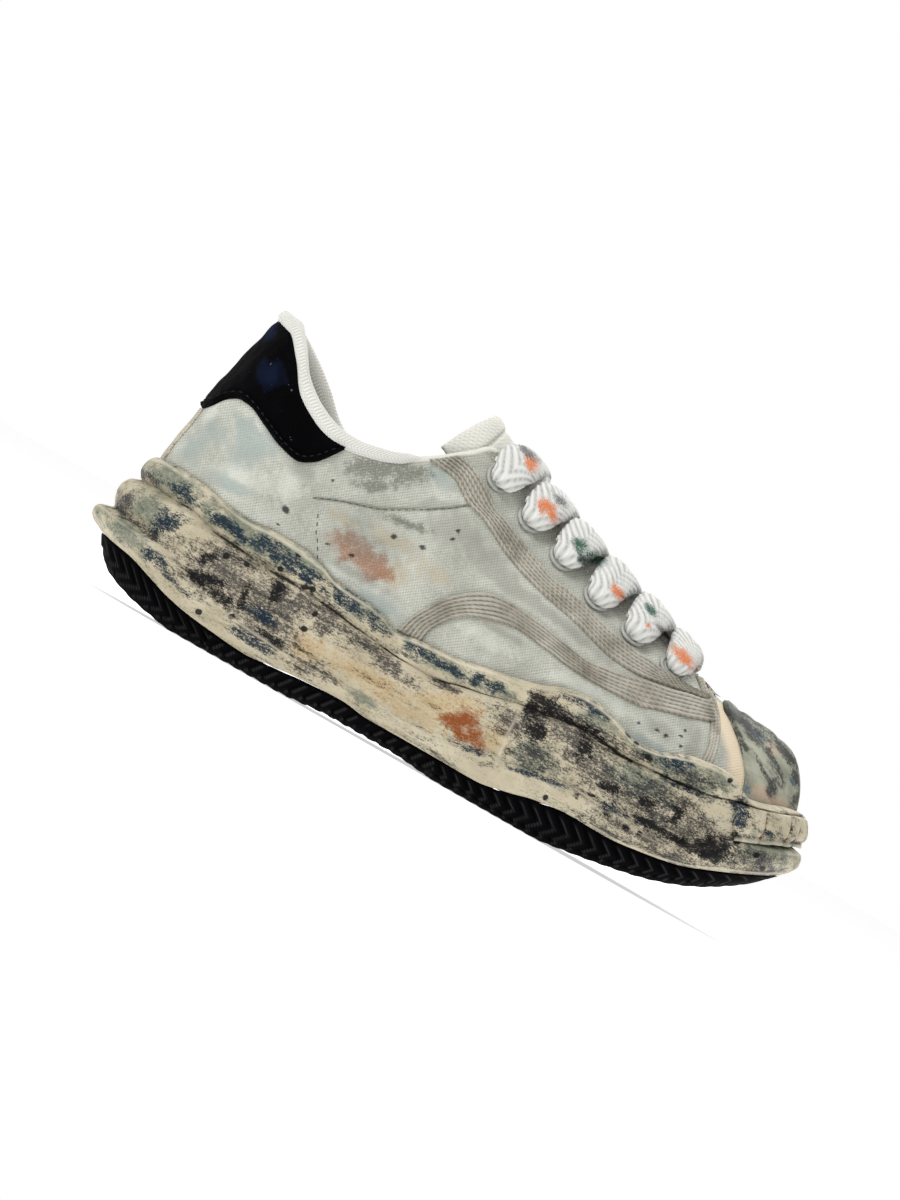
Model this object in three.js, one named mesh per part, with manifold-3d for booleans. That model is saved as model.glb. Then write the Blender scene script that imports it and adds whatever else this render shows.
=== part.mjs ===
// A worn low sneaker for the right foot: a hollow canvas upper, lasted into a thick wavy rubber cupsole.
// Millimetres. +X runs from heel to toe, +Y to the inner (medial) side, +Z up from the floor.
import * as THREE from "three";
import { mergeVertices } from "three/addons/utils/BufferGeometryUtils.js";
import Module from "manifold-3d";

// Driving dimensions. The pattern tables below are drawn for one base size and graded to these.
const LENGTH = 303;
const BALL_WIDTH = 115;
const HEIGHT = 134;
const BASE_SIZE = { length: 303, ballWidth: 115, height: 134 };
const GRADE = new THREE.Vector3(
  LENGTH / BASE_SIZE.length,
  BALL_WIDTH / BASE_SIZE.ballWidth,
  HEIGHT / BASE_SIZE.height,
);

// Thicknesses and clearances.
const WALL = 2.2; // canvas, interlining and knit lining together
const GAP = 0.3; // between pieces that meet on a curve
const OVERLAY = 1.7; // heel tab and toe cap
const STRIP = 0.8; // heel backstay strip
const INSOLE = 4.5;
const TONGUE = 4.5;
const LACE = { width: 11.5, thickness: 4, root: 4.4 };
const EYELET = { hole: 3.95, bore: 3.0, barrel: 3.4, flange: 6.3, height: 1.7, sides: 8 };

const wasm = await Module();
wasm.setup();

// ---------------------------------------------------------------- curves through hand-placed values

// Slope at a table point that never overshoots: zero at a peak, the harmonic mean elsewhere.
function calmSlope(before, after) {
  return before * after <= 0 ? 0 : (2 * before * after) / (before + after);
}

function hermite(p0, p1, m0, m1, s) {
  const s2 = s * s;
  const s3 = s2 * s;
  return p0 * (2 * s3 - 3 * s2 + 1) + m0 * (s3 - 2 * s2 + s) + p1 * (3 * s2 - 2 * s3) + m1 * (s3 - s2);
}

// A smooth function of x through [x, value] pairs, level past both ends.
function table(...pairs) {
  const n = pairs.length;
  const rise = (i) => (pairs[i + 1][1] - pairs[i][1]) / (pairs[i + 1][0] - pairs[i][0]);
  const slope = (i) => (i === 0 || i === n - 1 ? 0 : calmSlope(rise(i - 1), rise(i)));
  return (x) => {
    if (x <= pairs[0][0]) return pairs[0][1];
    if (x >= pairs[n - 1][0]) return pairs[n - 1][1];
    const i = pairs.findIndex((p, k) => k < n - 1 && x < pairs[k + 1][0]);
    const width = pairs[i + 1][0] - pairs[i][0];
    const s = (x - pairs[i][0]) / width;
    return hermite(pairs[i][1], pairs[i + 1][1], slope(i) * width, slope(i + 1) * width, s);
  };
}

// A closed function of u through values at u = 0, 1, 2 and so on. Calm ones never overshoot.
function loop(values, calm) {
  const n = values.length;
  const at = (i) => values[((i % n) + n) % n];
  const slope = (i) => {
    const before = at(i) - at(i - 1);
    const after = at(i + 1) - at(i);
    return calm ? calmSlope(before, after) : (before + after) / 2;
  };
  return (u) => {
    const i = Math.floor(u);
    return hermite(at(i), at(i + 1), slope(i), slope(i + 1), u - i);
  };
}

// ---------------------------------------------------------------- the last: ribs from sole to topline

// Each rib runs from its foot, down in the sole, to its top on the collar, the throat edge or the toe ridge.
// foot [x, outer y, inner y], top [x, y, z] outside and inside, swell [out, up] of the rib's lower half,
// crown [x, y, z] from the top to the rib's upper handle. The first rib is the heel's, the last the toe's.
const RIBS = [
  { foot: [12.3, 0, 0], top: [26, 0, 124.3], swell: [1.5, 21], crown: [-5.7, 0, -24.3] },
  { foot: [14.8, -12.8, 12.8], top: [27.3, -9.8, 124.1], swell: [1.5, 21], crown: [-4.8, 2.6, -24] },
  { foot: [22, -22.8, 22.3], top: [32, -17.8, 122.4], swell: [1.8, 21], crown: [-3, 4.2, -23.5] },
  { foot: [35, -29.6, 28.4], top: [39.2, -23.8, 114], swell: [2.2, 20], crown: [-1, 5, -22] },
  { foot: [53, -33, 30.8], top: [48, -27.8, 102.4], swell: [2.4, 18], crown: [0, 5, -20] },
  { foot: [73, -34, 31.2], top: [67, -31, 94.3], swell: [2.4, 17], crown: [0, 4.5, -19] },
  { foot: [92, -34.4, 30.4], top: [86, -29.4, 97.8], swell: [2.4, 18], crown: [0.5, 5.5, -20] },
  { foot: [108, -35.1, 30.2], top: [101.5, -25.8, 106], swell: [2.4, 20], crown: [1, 7, -19] },
  { foot: [122, -36.3, 31.2], top: [113.5, -21.4, 115.3], swell: [2.4, 23], crown: [1.5, 9, -17] },
  { foot: [135, -38.2, 33.2], top: [121.8, -17.8, 121.2], swell: [2.5, 26], crown: [2, 10.5, -15] },
  { foot: [151, -41, 36.6], top: [138, -15, 115.3], swell: [2.5, 28], crown: [2, 12, -13] },
  { foot: [172, -44.6, 41], top: [160, -12.8, 107.5], swell: [2.5, 27], crown: [2, 15, -10.5] },
  { foot: [194, -47.2, 44.6], top: [184, -11.4, 99.2], swell: [2.5, 25], crown: [2, 18, -8.5] },
  { foot: [216, -48, 46.4], top: [206, -10.3, 92.4], swell: [2.5, 24], crown: [2.5, 21, -6.5] },
  { foot: [236, -45.6, 45.7], top: [222, -8.4, 87.7], swell: [2.4, 23], crown: [3, 23, -4.5] },
  { foot: [252, -40.3, 42], top: [230, -5, 85.4], swell: [2.4, 22], crown: [5, 23.5, -3.6] },
  { foot: [264.5, -35, 37.6], top: [233, 0, 84.5], swell: [2.4, 21], crown: [7, 23, -3] },
  { foot: [275, -26.8, 31], top: [240, 0, 81.8], swell: [2.5, 20], crown: [12, 20, -2.4] },
  { foot: [283.8, -14.6, 20], top: [249, 0, 79.8], swell: [2.7, 19], crown: [19, 13, -1.2] },
  { foot: [288.8, 2.8, 2.8], top: [262, 0, 78.6], swell: [3, 18], crown: [23, 0, 0.2] },
];
// The inner side's topline stands a little further forward: its tops for ribs 2 to 5.
RIBS[2].topIn = [32, 17.8, 121];
RIBS[3].topIn = [42, 24, 113.8];
RIBS[4].topIn = [54.5, 28.5, 104];
RIBS[5].topIn = [70, 30.4, 94];
const TOE = RIBS.length - 1;
const THROAT_RIB = 16; // from here to the toe both sides meet on the ridge
const TURNS = 2 * TOE; // ribs once round the shoe
const RIDGE_DRIFT = 1.6; // the toe ridge stands this far to the inner side

// Once round the shoe: outer side from heel to toe, then inner side back to the heel.
function round(outer, inner) {
  const back = RIBS.slice(1, TOE).reverse().map(inner);
  return [...RIBS.map(outer), ...back];
}
const topOf = (rib, side) => {
  if (side < 0) return rib.top;
  return rib.topIn ?? [rib.top[0], -rib.top[1], rib.top[2]];
};
const plan = {
  x: loop(round((r) => r.foot[0], (r) => r.foot[0])),
  y: loop(round((r) => r.foot[1], (r) => r.foot[2])),
};
const topline = [0, 1, 2].map((i) => loop(round((r) => topOf(r, -1)[i], (r) => topOf(r, 1)[i]), true));
const swell = [0, 1].map((i) => loop(round((r) => r.swell[i], (r) => r.swell[i])));
const crown = [
  loop(round((r) => r.crown[0], (r) => r.crown[0])),
  loop(round((r) => -r.crown[1], (r) => r.crown[1])),
  loop(round((r) => r.crown[2], (r) => r.crown[2])),
];
const drift = table([160, 0], [233, RIDGE_DRIFT], [262, RIDGE_DRIFT]);

// Where the cup's floor lies under the foot, from heel to toe.
const floorHeight = table(
  [12, 40], [60, 38.5], [110, 35.5], [150, 33], [200, 32], [240, 34], [270, 38], [289, 41],
);

function planNormal(u) {
  const step = 0.02;
  const along = new THREE.Vector2(plan.x(u + step) - plan.x(u - step), plan.y(u + step) - plan.y(u - step));
  return new THREE.Vector2(along.y, -along.x).normalize();
}

// A point of the upper's outer face: u goes round the shoe, t from the foot, 0, to the topline, 1.
function face(u, t) {
  const out = planNormal(u);
  const foot = new THREE.Vector3(plan.x(u), plan.y(u), floorHeight(plan.x(u)) + GAP);
  const top = new THREE.Vector3(...topline.map((f) => f(u)));
  top.y += drift(top.x);
  const low = foot.clone().add(new THREE.Vector3(out.x * swell[0](u), out.y * swell[0](u), swell[1](u)));
  const high = top.clone().add(new THREE.Vector3(...crown.map((f) => f(u))));
  return new THREE.CubicBezierCurve3(foot, low, high, top).getPoint(t);
}

const wrap = (u) => ((u % TURNS) + TURNS) % TURNS;
const onRidge = (u) => Math.abs(wrap(u) - TOE) <= TOE - THROAT_RIB + 0.001;

// The face moved out along its own normal. On the ridge both sides share one upright normal.
function skin(u, t, out) {
  const step = 0.01;
  const here = face(u, t);
  const along = face(u + step, t).sub(face(u - step, t));
  if (t > 0.999 && onRidge(u)) {
    const normal = new THREE.Vector3(-along.z, 0, along.x).normalize();
    if (Math.abs(wrap(u) - TOE) < 0.05) normal.set(0, 0, 1);
    return here.addScaledVector(normal.z < 0 ? normal.negate() : normal, out);
  }
  const up = face(u, Math.min(1, t + step)).sub(face(u, Math.max(0, t - step)));
  return here.addScaledVector(along.cross(up).normalize().negate(), -out);
}

// ---------------------------------------------------------------- closed meshes from rings

class Solid {
  points = [];
  faces = [];
  ring(list) {
    const first = this.points.length;
    this.points.push(...list);
    return list.map((_, i) => first + i);
  }
  quad(a, b, c, d) {
    this.faces.push([a, b, c], [a, c, d]);
  }
  // Joins two rings of equal length, closed or open. An inward band has the same diagonals, turned over.
  band(low, high, closed = true, inward = false) {
    const n = low.length;
    for (let i = 0; i < (closed ? n : n - 1); i++) {
      const j = (i + 1) % n;
      if (inward) this.quad(low[i], high[i], high[j], low[j]);
      else this.quad(low[i], low[j], high[j], high[i]);
    }
  }
  // Joins rings in a row, and closes both ends by rungs across them.
  loft(rings) {
    rings.slice(1).forEach((ring, i) => this.band(rings[i], ring));
    const [first, last] = [rings[0], rings[rings.length - 1]];
    const n = first.length;
    for (let k = 0; k < n / 2 - 1; k++) {
      this.quad(first[n - 1 - k], first[n - 2 - k], first[k + 1], first[k]);
      this.quad(last[k], last[k + 1], last[n - 2 - k], last[n - 1 - k]);
    }
    return this;
  }
  // Closes a ring that goes once round the shoe, by rungs from the outer side to the inner side.
  lid(ring, faceUp) {
    const n = ring.length;
    for (let i = 0; i < n / 2; i++) {
      const [a, b, c, d] = [ring[i], ring[i + 1], ring[(n - i - 1) % n], ring[(n - i) % n]];
      const pair = [];
      if (b !== c) pair.push([a, b, c]);
      if (a !== d) pair.push([a, c, d]);
      this.faces.push(...(faceUp ? pair : pair.map(([p, q, r]) => [p, r, q])));
    }
  }
  volume() {
    const at = (i) => this.points[i];
    return this.faces.reduce((sum, [a, b, c]) => sum + at(a).dot(at(b).clone().cross(at(c))) / 6, 0);
  }
  geometry() {
    if (this.volume() < 0) this.faces.forEach((face) => face.reverse());
    const position = new Float32Array(this.points.length * 3);
    this.points.forEach((p, i) => p.clone().multiply(GRADE).toArray(position, i * 3));
    const made = new THREE.BufferGeometry();
    made.setAttribute("position", new THREE.BufferAttribute(position, 3));
    made.setIndex(this.faces.flat());
    return made;
  }
}

const BODY = new THREE.Group();

function manifoldOf(geometry) {
  const bare = geometry.clone();
  bare.deleteAttribute("normal");
  bare.deleteAttribute("uv");
  const merged = mergeVertices(bare, 1e-3);
  const triangles = [];
  const index = merged.index.array;
  for (let i = 0; i < index.length; i += 3) {
    const [a, b, c] = index.slice(i, i + 3);
    if (a !== b && b !== c && a !== c) triangles.push(a, b, c);
  }
  const vertProperties = merged.attributes.position.array;
  const triVerts = new Uint32Array(triangles);
  return new wasm.Manifold(new wasm.Mesh({ numProp: 3, vertProperties, triVerts }));
}

function geometryOf(solid) {
  const { vertProperties, triVerts } = solid.getMesh();
  const made = new THREE.BufferGeometry();
  made.setAttribute("position", new THREE.BufferAttribute(new Float32Array(vertProperties), 3));
  made.setIndex(new THREE.BufferAttribute(new Uint32Array(triVerts), 1));
  return made;
}

function add(name, solid, color, roughness, metalness = 0) {
  const material = new THREE.MeshStandardMaterial({ color, roughness, metalness });
  const mesh = new THREE.Mesh(geometryOf(solid), material);
  mesh.name = name;
  BODY.add(mesh);
}

// Evenly spaced stations once round the shoe, closer together round the heel and the toe.
const STATIONS = 64;
const UPPER_RUNGS = [0, 0.1, 0.23, 0.37, 0.51, 0.65, 0.78, 0.9, 1];
const stations = Array.from({ length: STATIONS }, (_, i) => (i * TURNS) / STATIONS);

// ---------------------------------------------------------------- sole

// Side-view lines of the sole, as height against x. The bands rise and sink like soft wax.
const sole = {
  ground: table(
    [3, 19], [6, 15.5], [10, 11], [15, 8], [20, 6], [30, 3], [40, 1.1], [47, 0], [94, 0],
    [118, 1.6], [142, 1.6], [166, 0], [206, 0], [220, 1.6], [235, 4], [250, 7], [260, 10],
    [270, 14], [280, 19.5], [290, 26], [298, 32],
  ),
  tread: table(
    [4, 20], [13, 18.6], [20, 17.5], [30, 14.5], [40, 11.3], [50, 9.2], [60, 8], [78, 6.6], [90, 8],
    [118, 9.5], [130, 8.2], [150, 8.3], [176, 8.1], [190, 10.5], [200, 13], [215, 14.5], [230, 14.2],
    [245, 15.7], [260, 18.4], [270, 22], [280, 26], [290, 30.3], [298, 33.5],
  ),
  lip: table(
    [-2, 30.6], [12, 29.2], [25, 27.4], [40, 25], [56, 21], [75, 18], [92, 16], [130, 16], [152, 15.8],
    [166, 17.6], [180, 19.6], [200, 23], [212, 24.6], [221, 24], [230, 25.8], [240, 23.4], [252, 24],
    [262, 29], [272, 36], [282, 40], [292, 44.4], [299, 46.6],
  ),
  seam: table(
    [5, 44.6], [22, 44.5], [32, 43.8], [45, 41.6], [60, 39.6], [80, 38.6], [92, 38.2], [110, 36.4],
    [130, 34], [142, 34.2], [155, 36.6], [170, 40], [185, 43], [200, 45.5], [210, 45], [220, 43.6],
    [240, 45.2], [256, 47.2], [268, 50], [280, 53], [287, 55.4], [294, 57.4],
  ),
  brim: table(
    [6, 54], [14, 55.3], [22, 55.2], [32, 54.4], [42, 52.6], [54, 51.4], [66, 52.3], [78, 51.9],
    [86, 50.3], [94, 47.4], [110, 46], [117, 44.6], [123, 41.8], [131, 43.2], [148, 44.7], [160, 47],
    [180, 51.2], [190, 55], [200, 56.6], [208, 55.6], [216, 52.8], [223, 50.7], [231, 51.2], [240, 54.4],
    [248, 56.8], [257, 57.6], [263, 57.2], [268, 54.6], [273, 52.4], [280, 53.4], [287, 55.6], [294, 57.6],
  ),
};
// How far each line of the sole stands out from the upper's foot, against x.
const reach = {
  tread: table([12, 6.6], [60, 5.6], [140, 5.2], [215, 6], [289, 8]),
  lip: table([12, 13.6], [40, 11.2], [75, 9.6], [140, 9], [190, 10], [225, 10.4], [260, 10.6], [289, 12.6]),
  valley: table(
    [12, 7.4], [40, 7], [62, 8.4], [90, 7.2], [140, 6], [175, 7], [215, 7.6], [262, 6.4], [289, 6],
  ),
  middle: table(
    [12, 8.8], [40, 8.6], [65, 8], [100, 6.2], [140, 5.4], [175, 6.6], [195, 8], [235, 8], [262, 6],
    [289, 5.8],
  ),
  seam: table([12, 3.4], [140, 3.4], [230, 3.6], [262, 4.2], [289, 5.4]),
  foxing: table([12, 5], [60, 4.8], [140, 4.2], [200, 5], [255, 5], [275, 5], [289, 5.4]),
  brim: table([12, 3], [140, 2.9], [250, 3.1], [262, 4.2], [289, 5.2]),
};
// The inner side's waves run a little ahead of the outer side's, and meet them at heel and toe.
const WAVE_SHIFT = 13;
function wave(line, u, x) {
  const inner = wrap(u) > TOE;
  const share = Math.min(1, Math.max(0, x / BASE_SIZE.length));
  return line(inner ? x - WAVE_SHIFT * Math.sin(Math.PI * share) ** 2 : x);
}

// A point of the sole's wall: out from the upper's foot, at a height between two side-view lines.
function wall(u, out, low, high, share) {
  const normal = planNormal(u);
  const x = plan.x(u) + normal.x * out;
  const y = plan.y(u) + normal.y * out;
  const z = wave(low, u, x) * (1 - share) + wave(high, u, x) * share;
  return new THREE.Vector3(x, y, z);
}

// The cup keeps clear of the upper, and of the toe cap that goes down inside it.
const cupGap = table([250, GAP], [262, 2 * GAP + OVERLAY + 0.2]);
// From the tread line to the brim: how far out, between which two lines, how high, and a factor.
const PROFILE = [
  ["tread", "tread", "lip", 0],
  ["lip", "tread", "lip", 0.28, 0.86],
  ["lip", "tread", "lip", 0.5, 1],
  ["lip", "tread", "lip", 0.8, 0.93],
  ["valley", "lip", "seam", 0.04],
  ["middle", "lip", "seam", 0.3],
  ["middle", "lip", "seam", 0.55, 1.06],
  ["middle", "lip", "seam", 0.85, 0.84],
  ["seam", "seam", "brim", 0],
  ["foxing", "seam", "brim", 0.35],
  ["foxing", "seam", "brim", 0.75, 0.94],
  ["brim", "seam", "brim", 1],
];

function ringsOf(made, rings) {
  rings.slice(1).forEach((ring, i) => made.band(rings[i], ring));
  made.lid(rings[0], false);
  made.lid(rings[rings.length - 1], true);
  return manifoldOf(made.geometry());
}

// What the upper fills of the cup, from the cup's floor to well above the brim.
function cupHollow() {
  const made = new Solid();
  const floorRing = stations.map((u) => {
    const point = skin(u, 0, cupGap(plan.x(u)));
    point.z = floorHeight(plan.x(u));
    return point;
  });
  const walls = UPPER_RUNGS.slice(0, 5).map((t) => stations.map((u) => skin(u, t, cupGap(plan.x(u)))));
  return ringsOf(made, [floorRing, ...walls].map((list) => made.ring(list)));
}

function midsole() {
  const made = new Solid();
  const rings = PROFILE.map(([name, low, high, share, factor = 1]) =>
    made.ring(stations.map((u) => wall(u, reach[name](plan.x(u)) * factor, sole[low], sole[high], share))),
  );
  return ringsOf(made, rings).subtract(cupHollow());
}

// Black rubber, rolled up round the edge of the cup so that the tread shows from the side.
const ROLL = [
  [GAP, 0],
  [0.9, 0.3],
  [3.2, 0.68],
  [9, 0.97],
  [15, 1],
];
const GROOVES = [32, 50, 84, 102, 120, 138, 156, 196, 214, 232, 250, 268];
const GROOVE = { width: 3, depth: 1.6 };
const LUG_CUT = 150; // longer than the sole is wide

function groove(x) {
  const cut = new THREE.BoxGeometry(GROOVE.width, LUG_CUT, 2 * GROOVE.depth);
  return manifoldOf(cut.translate(x * GRADE.x, 0, sole.ground(x) * GRADE.z));
}

function outsole() {
  const made = new Solid();
  const ringAt = (inset, depth) =>
    made.ring(
      stations.map((u) => {
        const point = wall(u, reach.tread(plan.x(u)) - inset, sole.tread, sole.tread, 0);
        const top = point.z - GAP - 0.06;
        point.z = top - (top - sole.ground(point.x)) * depth;
        return point;
      }),
    );
  const blank = ringsOf(made, ROLL.map(([inset, depth]) => ringAt(inset, depth)).reverse());
  return GROOVES.map(groove).reduce((cut, tool) => cut.subtract(tool), blank);
}

function insole() {
  const made = new Solid();
  const inset = WALL + 1.2;
  const ringAt = (out, height) =>
    made.ring(
      stations.map((u) => {
        const point = wall(u, -out, floorHeight, floorHeight, 0);
        point.z = floorHeight(point.x) + height;
        return point;
      }),
    );
  return ringsOf(made, [ringAt(inset, GAP), ringAt(inset + 0.6, INSOLE)]);
}

// A strip of thicker rubber glued round the toe, over the middle band of the cup.
const BUMPER_SPAN = 2.85; // ribs to each side of the toe
const BUMPER_SLANT = 0.5; // the ends lean forward towards their tops
const BUMPER_MIDDLE = 0.6;
function toeBumper() {
  const made = new Solid();
  const steps = 16;
  const sections = Array.from({ length: steps + 1 }, (_, i) => {
    const u = TOE - BUMPER_SPAN + (2 * BUMPER_SPAN * i) / steps;
    const share = (2 * i) / steps - 1;
    const fade = 1 - Math.abs(share) ** 8;
    const lean = (up) => u + share ** 3 * BUMPER_SLANT * (up - BUMPER_MIDDLE);
    const x = plan.x(u);
    const back = Math.max(reach.middle(x), reach.seam(x)) * 1.06 + GAP + 0.15;
    const thick = 0.8 + 2.6 * fade;
    return made.ring([
      wall(lean(0.12), back, sole.lip, sole.seam, 0.12),
      wall(lean(0.06), back + thick * 0.8, sole.lip, sole.seam, 0.06),
      wall(lean(0.35), back + thick, sole.lip, sole.seam, 0.35),
      wall(lean(0.75), back + thick * 0.85, sole.lip, sole.seam, 0.75),
      wall(lean(1.04), back + thick * 0.2, sole.lip, sole.seam, 1.04),
      wall(lean(1.0), back, sole.lip, sole.seam, 1.0),
    ]);
  });
  return made.loft(sections);
}

// ---------------------------------------------------------------- upper and its overlays

function upperShell() {
  const made = new Solid();
  const outer = UPPER_RUNGS.map((t) => made.ring(stations.map((u) => skin(u, t, 0))));
  const inner = UPPER_RUNGS.map((t) => made.ring(stations.map((u) => skin(u, t, -WALL))));
  const last = UPPER_RUNGS.length - 1;
  for (let k = 0; k < last; k++) {
    made.band(outer[k], outer[k + 1]);
    made.band(inner[k], inner[k + 1], true, true);
  }
  made.band(inner[0], outer[0]);
  // The rim runs round the collar and the throat, and stops where both sides meet on the ridge.
  stations.forEach((u, i) => {
    const j = (i + 1) % STATIONS;
    const next = i + 1 === STATIONS ? TURNS : stations[j];
    if (onRidge(u) && onRidge(next)) return;
    made.quad(outer[last][i], outer[last][j], inner[last][j], inner[last][i]);
  });
  return made;
}

// A patch of constant thickness on the upper, over the stations to each side of a middle one.
function patch(middle, reachOut, rungs, thickness) {
  const made = new Solid();
  const columns = 2 * reachOut;
  const first = middle - reachOut;
  const places = Array.from({ length: columns + 1 }, (_, i) => ((first + i) * TURNS) / STATIONS);
  const grid = (out) => rungs.map((t) => made.ring(places.map((u) => skin(u, t, out))));
  const [inner, outer] = [grid(GAP), grid(GAP + thickness)];
  const rows = rungs.length - 1;
  for (let k = 0; k < rows; k++) {
    made.band(outer[k], outer[k + 1], false);
    made.band(inner[k], inner[k + 1], false, true);
    made.quad(inner[k][0], outer[k][0], outer[k + 1][0], inner[k + 1][0]);
    made.quad(outer[k][columns], inner[k][columns], inner[k + 1][columns], outer[k + 1][columns]);
  }
  made.band(inner[0], outer[0], false);
  const meetsItself = rungs[rows] === 1 && onRidge(places[0]);
  if (!meetsItself) made.band(outer[rows], inner[rows], false);
  return manifoldOf(made.geometry());
}

// A straight cut across the shoe with a side-view outline, as a knife cuts a pattern.
function sideCut(outline, width) {
  const shape = new THREE.Shape(outline.map(([x, z]) => new THREE.Vector2(x * GRADE.x, z * GRADE.z)));
  const cut = new THREE.ExtrudeGeometry(shape, { depth: width, bevelEnabled: false, steps: 1 });
  cut.rotateX(Math.PI / 2).translate(0, width / 2, 0);
  return manifoldOf(cut);
}

// Points along a smooth side-view line, for an outline's curved edges.
function sweep(points, count) {
  const curve = new THREE.SplineCurve(points.map(([x, z]) => new THREE.Vector2(x, z)));
  return curve.getPoints(count).map((p) => [p.x, p.y]);
}

const CUT_WIDTH = 160;
function heelTab() {
  const lowEdge = sweep(
    [
      [14, 79.6], [19, 82], [24, 88], [30, 90], [40, 86.2], [50, 81.8], [58, 80.2], [65, 83.6],
      [70.5, 90], [73, 94],
    ],
    18,
  );
  const outline = [...lowEdge, [80, 104], [80, 140], [5, 140], [5, 79.6]];
  return patch(0, 10, UPPER_RUNGS.slice(3), OVERLAY).intersect(sideCut(outline, CUT_WIDTH));
}

function heelStrip() {
  const outline = [[5, 56.6], [30, 56.6], [30, 79.1], [5, 79.1]];
  return patch(0, 1, UPPER_RUNGS.slice(1, 6), STRIP).intersect(sideCut(outline, CUT_WIDTH));
}

function toeCap() {
  const backEdge = sweep(
    [[243, 86], [244, 82], [250, 75.5], [258, 69], [264, 62.5], [267, 56], [268, 46]],
    12,
  );
  const outline = [...backEdge, [310, 46], [310, 90], [243, 90]];
  return patch(STATIONS / 2, 5, UPPER_RUNGS.slice(1), OVERLAY).intersect(sideCut(outline, CUT_WIDTH));
}

// ---------------------------------------------------------------- eyelets

// Side-view places of the eyelets, from the top one down.
const EYELETS = [[128.5, 112.6], [146.5, 105], [164.2, 98], [183, 91], [202, 86], [221.5, 81.4]];

// The rib and rung at which the face shows at a side-view place, on the outer (-1) or inner (1) side.
function findOnFace(x, z, side) {
  let [u, t] = [side < 0 ? 12 : TURNS - 12, 0.8];
  for (let i = 0; i < 30; i++) {
    const step = 0.01;
    const here = face(u, t);
    const du = face(u + step, t).sub(here).divideScalar(step);
    const dt = face(u, t + step).sub(here).divideScalar(step);
    const det = du.x * dt.z - dt.x * du.z;
    const [ex, ez] = [x - here.x, z - here.z];
    u += (ex * dt.z - dt.x * ez) / det;
    t = Math.min(0.985, t + (du.x * ez - ex * du.z) / det);
  }
  return [u, t];
}

// A frame standing on the face: its origin, its outward normal and the turn that lifts +Y onto it.
function seat(x, z, side) {
  const [u, t] = findOnFace(x, z, side);
  const origin = skin(u, t, 0);
  const normal = skin(u, t, 1).sub(origin).normalize();
  const turn = new THREE.Quaternion().setFromUnitVectors(new THREE.Vector3(0, 1, 0), normal);
  return { origin, normal, turn };
}
const seats = [-1, 1].map((side) => EYELETS.map(([x, z]) => seat(x, z, side)));

function standOn({ origin, turn }, geometry) {
  return geometry.applyQuaternion(turn).translate(...origin.clone().multiply(GRADE).toArray());
}

function eyelet(place) {
  const { bore, barrel, flange, height } = EYELET;
  const base = GAP + 0.25; // the facing is bowed under the flange
  const outline = [
    [bore, -WALL - 0.6],
    [barrel, -WALL - 0.6],
    [barrel, base],
    [flange, base],
    [flange - 1, base + height],
    [bore, base + height * 0.35],
  ];
  const profile = [...outline, outline[0]].map(([r, y]) => new THREE.Vector2(r, y));
  return manifoldOf(standOn(place, new THREE.LatheGeometry(profile, EYELET.sides)));
}

const PUNCH_DEPTH = 16;
const punch = (place) => {
  const { hole, sides } = EYELET;
  return manifoldOf(standOn(place, new THREE.CylinderGeometry(hole, hole, PUNCH_DEPTH, sides)));
};

// ---------------------------------------------------------------- tongue

// Middle line of the tongue's outer face in side view, from its top edge to its root under the vamp.
const crest = table(
  [115, 133.6], [121, 129.8], [130, 125], [141, 119.3], [160, 110.3], [180, 101.4], [200, 93.6],
  [215, 88.4], [225, 82.8], [233, 77], [244, 72.5],
);
const UNDER = WALL + 3; // the tongue's face lies this far below the upper's face, leaving room for the lace
// The rib whose top lies nearest, at x along the tongue.
const tongueRib = table(
  [121, 9], [138, 10], [160, 11], [184, 12], [206, 13], [222, 14], [233, 14.8], [244, 15.4],
);
const freeTop = table([115, 1], [132, 0]); // the free top sweeps back and stands clear of the collar
// Half of a section from beside the middle line outwards, at x along the tongue.
function tongueHalf(x, side) {
  const rib = side < 0 ? tongueRib(x) : TURNS - tongueRib(x);
  const held = [0.97, 0.88, 0.78].map((t) => skin(rib, t, -UNDER));
  const free = [
    new THREE.Vector3(x - 3, side * 11 + drift(x), crest(x) - 4.2),
    new THREE.Vector3(x - 7.5, side * 16 + drift(x), crest(x) - 12),
    new THREE.Vector3(x - 12, side * 18 + drift(x), crest(x) - 21),
  ];
  return held.map((p, i) => p.lerp(free[i], freeTop(x)));
}

function tongue() {
  const made = new Solid();
  const places = [115, 120, 126, 133, 141, 152, 164, 176, 188, 200, 212, 222, 231, 240];
  const sections = places.map((x) => {
    const middle = new THREE.Vector3(x, drift(x), crest(x));
    const line = [...tongueHalf(x, -1).reverse(), middle, ...tongueHalf(x, 1)];
    return new THREE.CatmullRomCurve3(line, false, "centripetal").getPoints(6);
  });
  // Each point sinks along the local normal to give the under side.
  const normalAt = (i, k) => {
    const before = sections[Math.max(0, i - 1)][k];
    const after = sections[Math.min(sections.length - 1, i + 1)][k];
    const left = sections[i][Math.max(0, k - 1)];
    const right = sections[i][Math.min(sections[i].length - 1, k + 1)];
    return after.clone().sub(before).cross(right.clone().sub(left)).normalize();
  };
  const rings = sections.map((line, i) => {
    const under = line.map((p, k) => {
      const edge = Math.min(k, line.length - 1 - k);
      const thick = TONGUE * Math.min(1, 0.45 + 0.55 * edge);
      return p.clone().addScaledVector(normalAt(i, k), -thick);
    });
    return made.ring([...line, ...under.reverse()]);
  });
  return made.loft(rings);
}

// ---------------------------------------------------------------- collar roll

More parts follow.
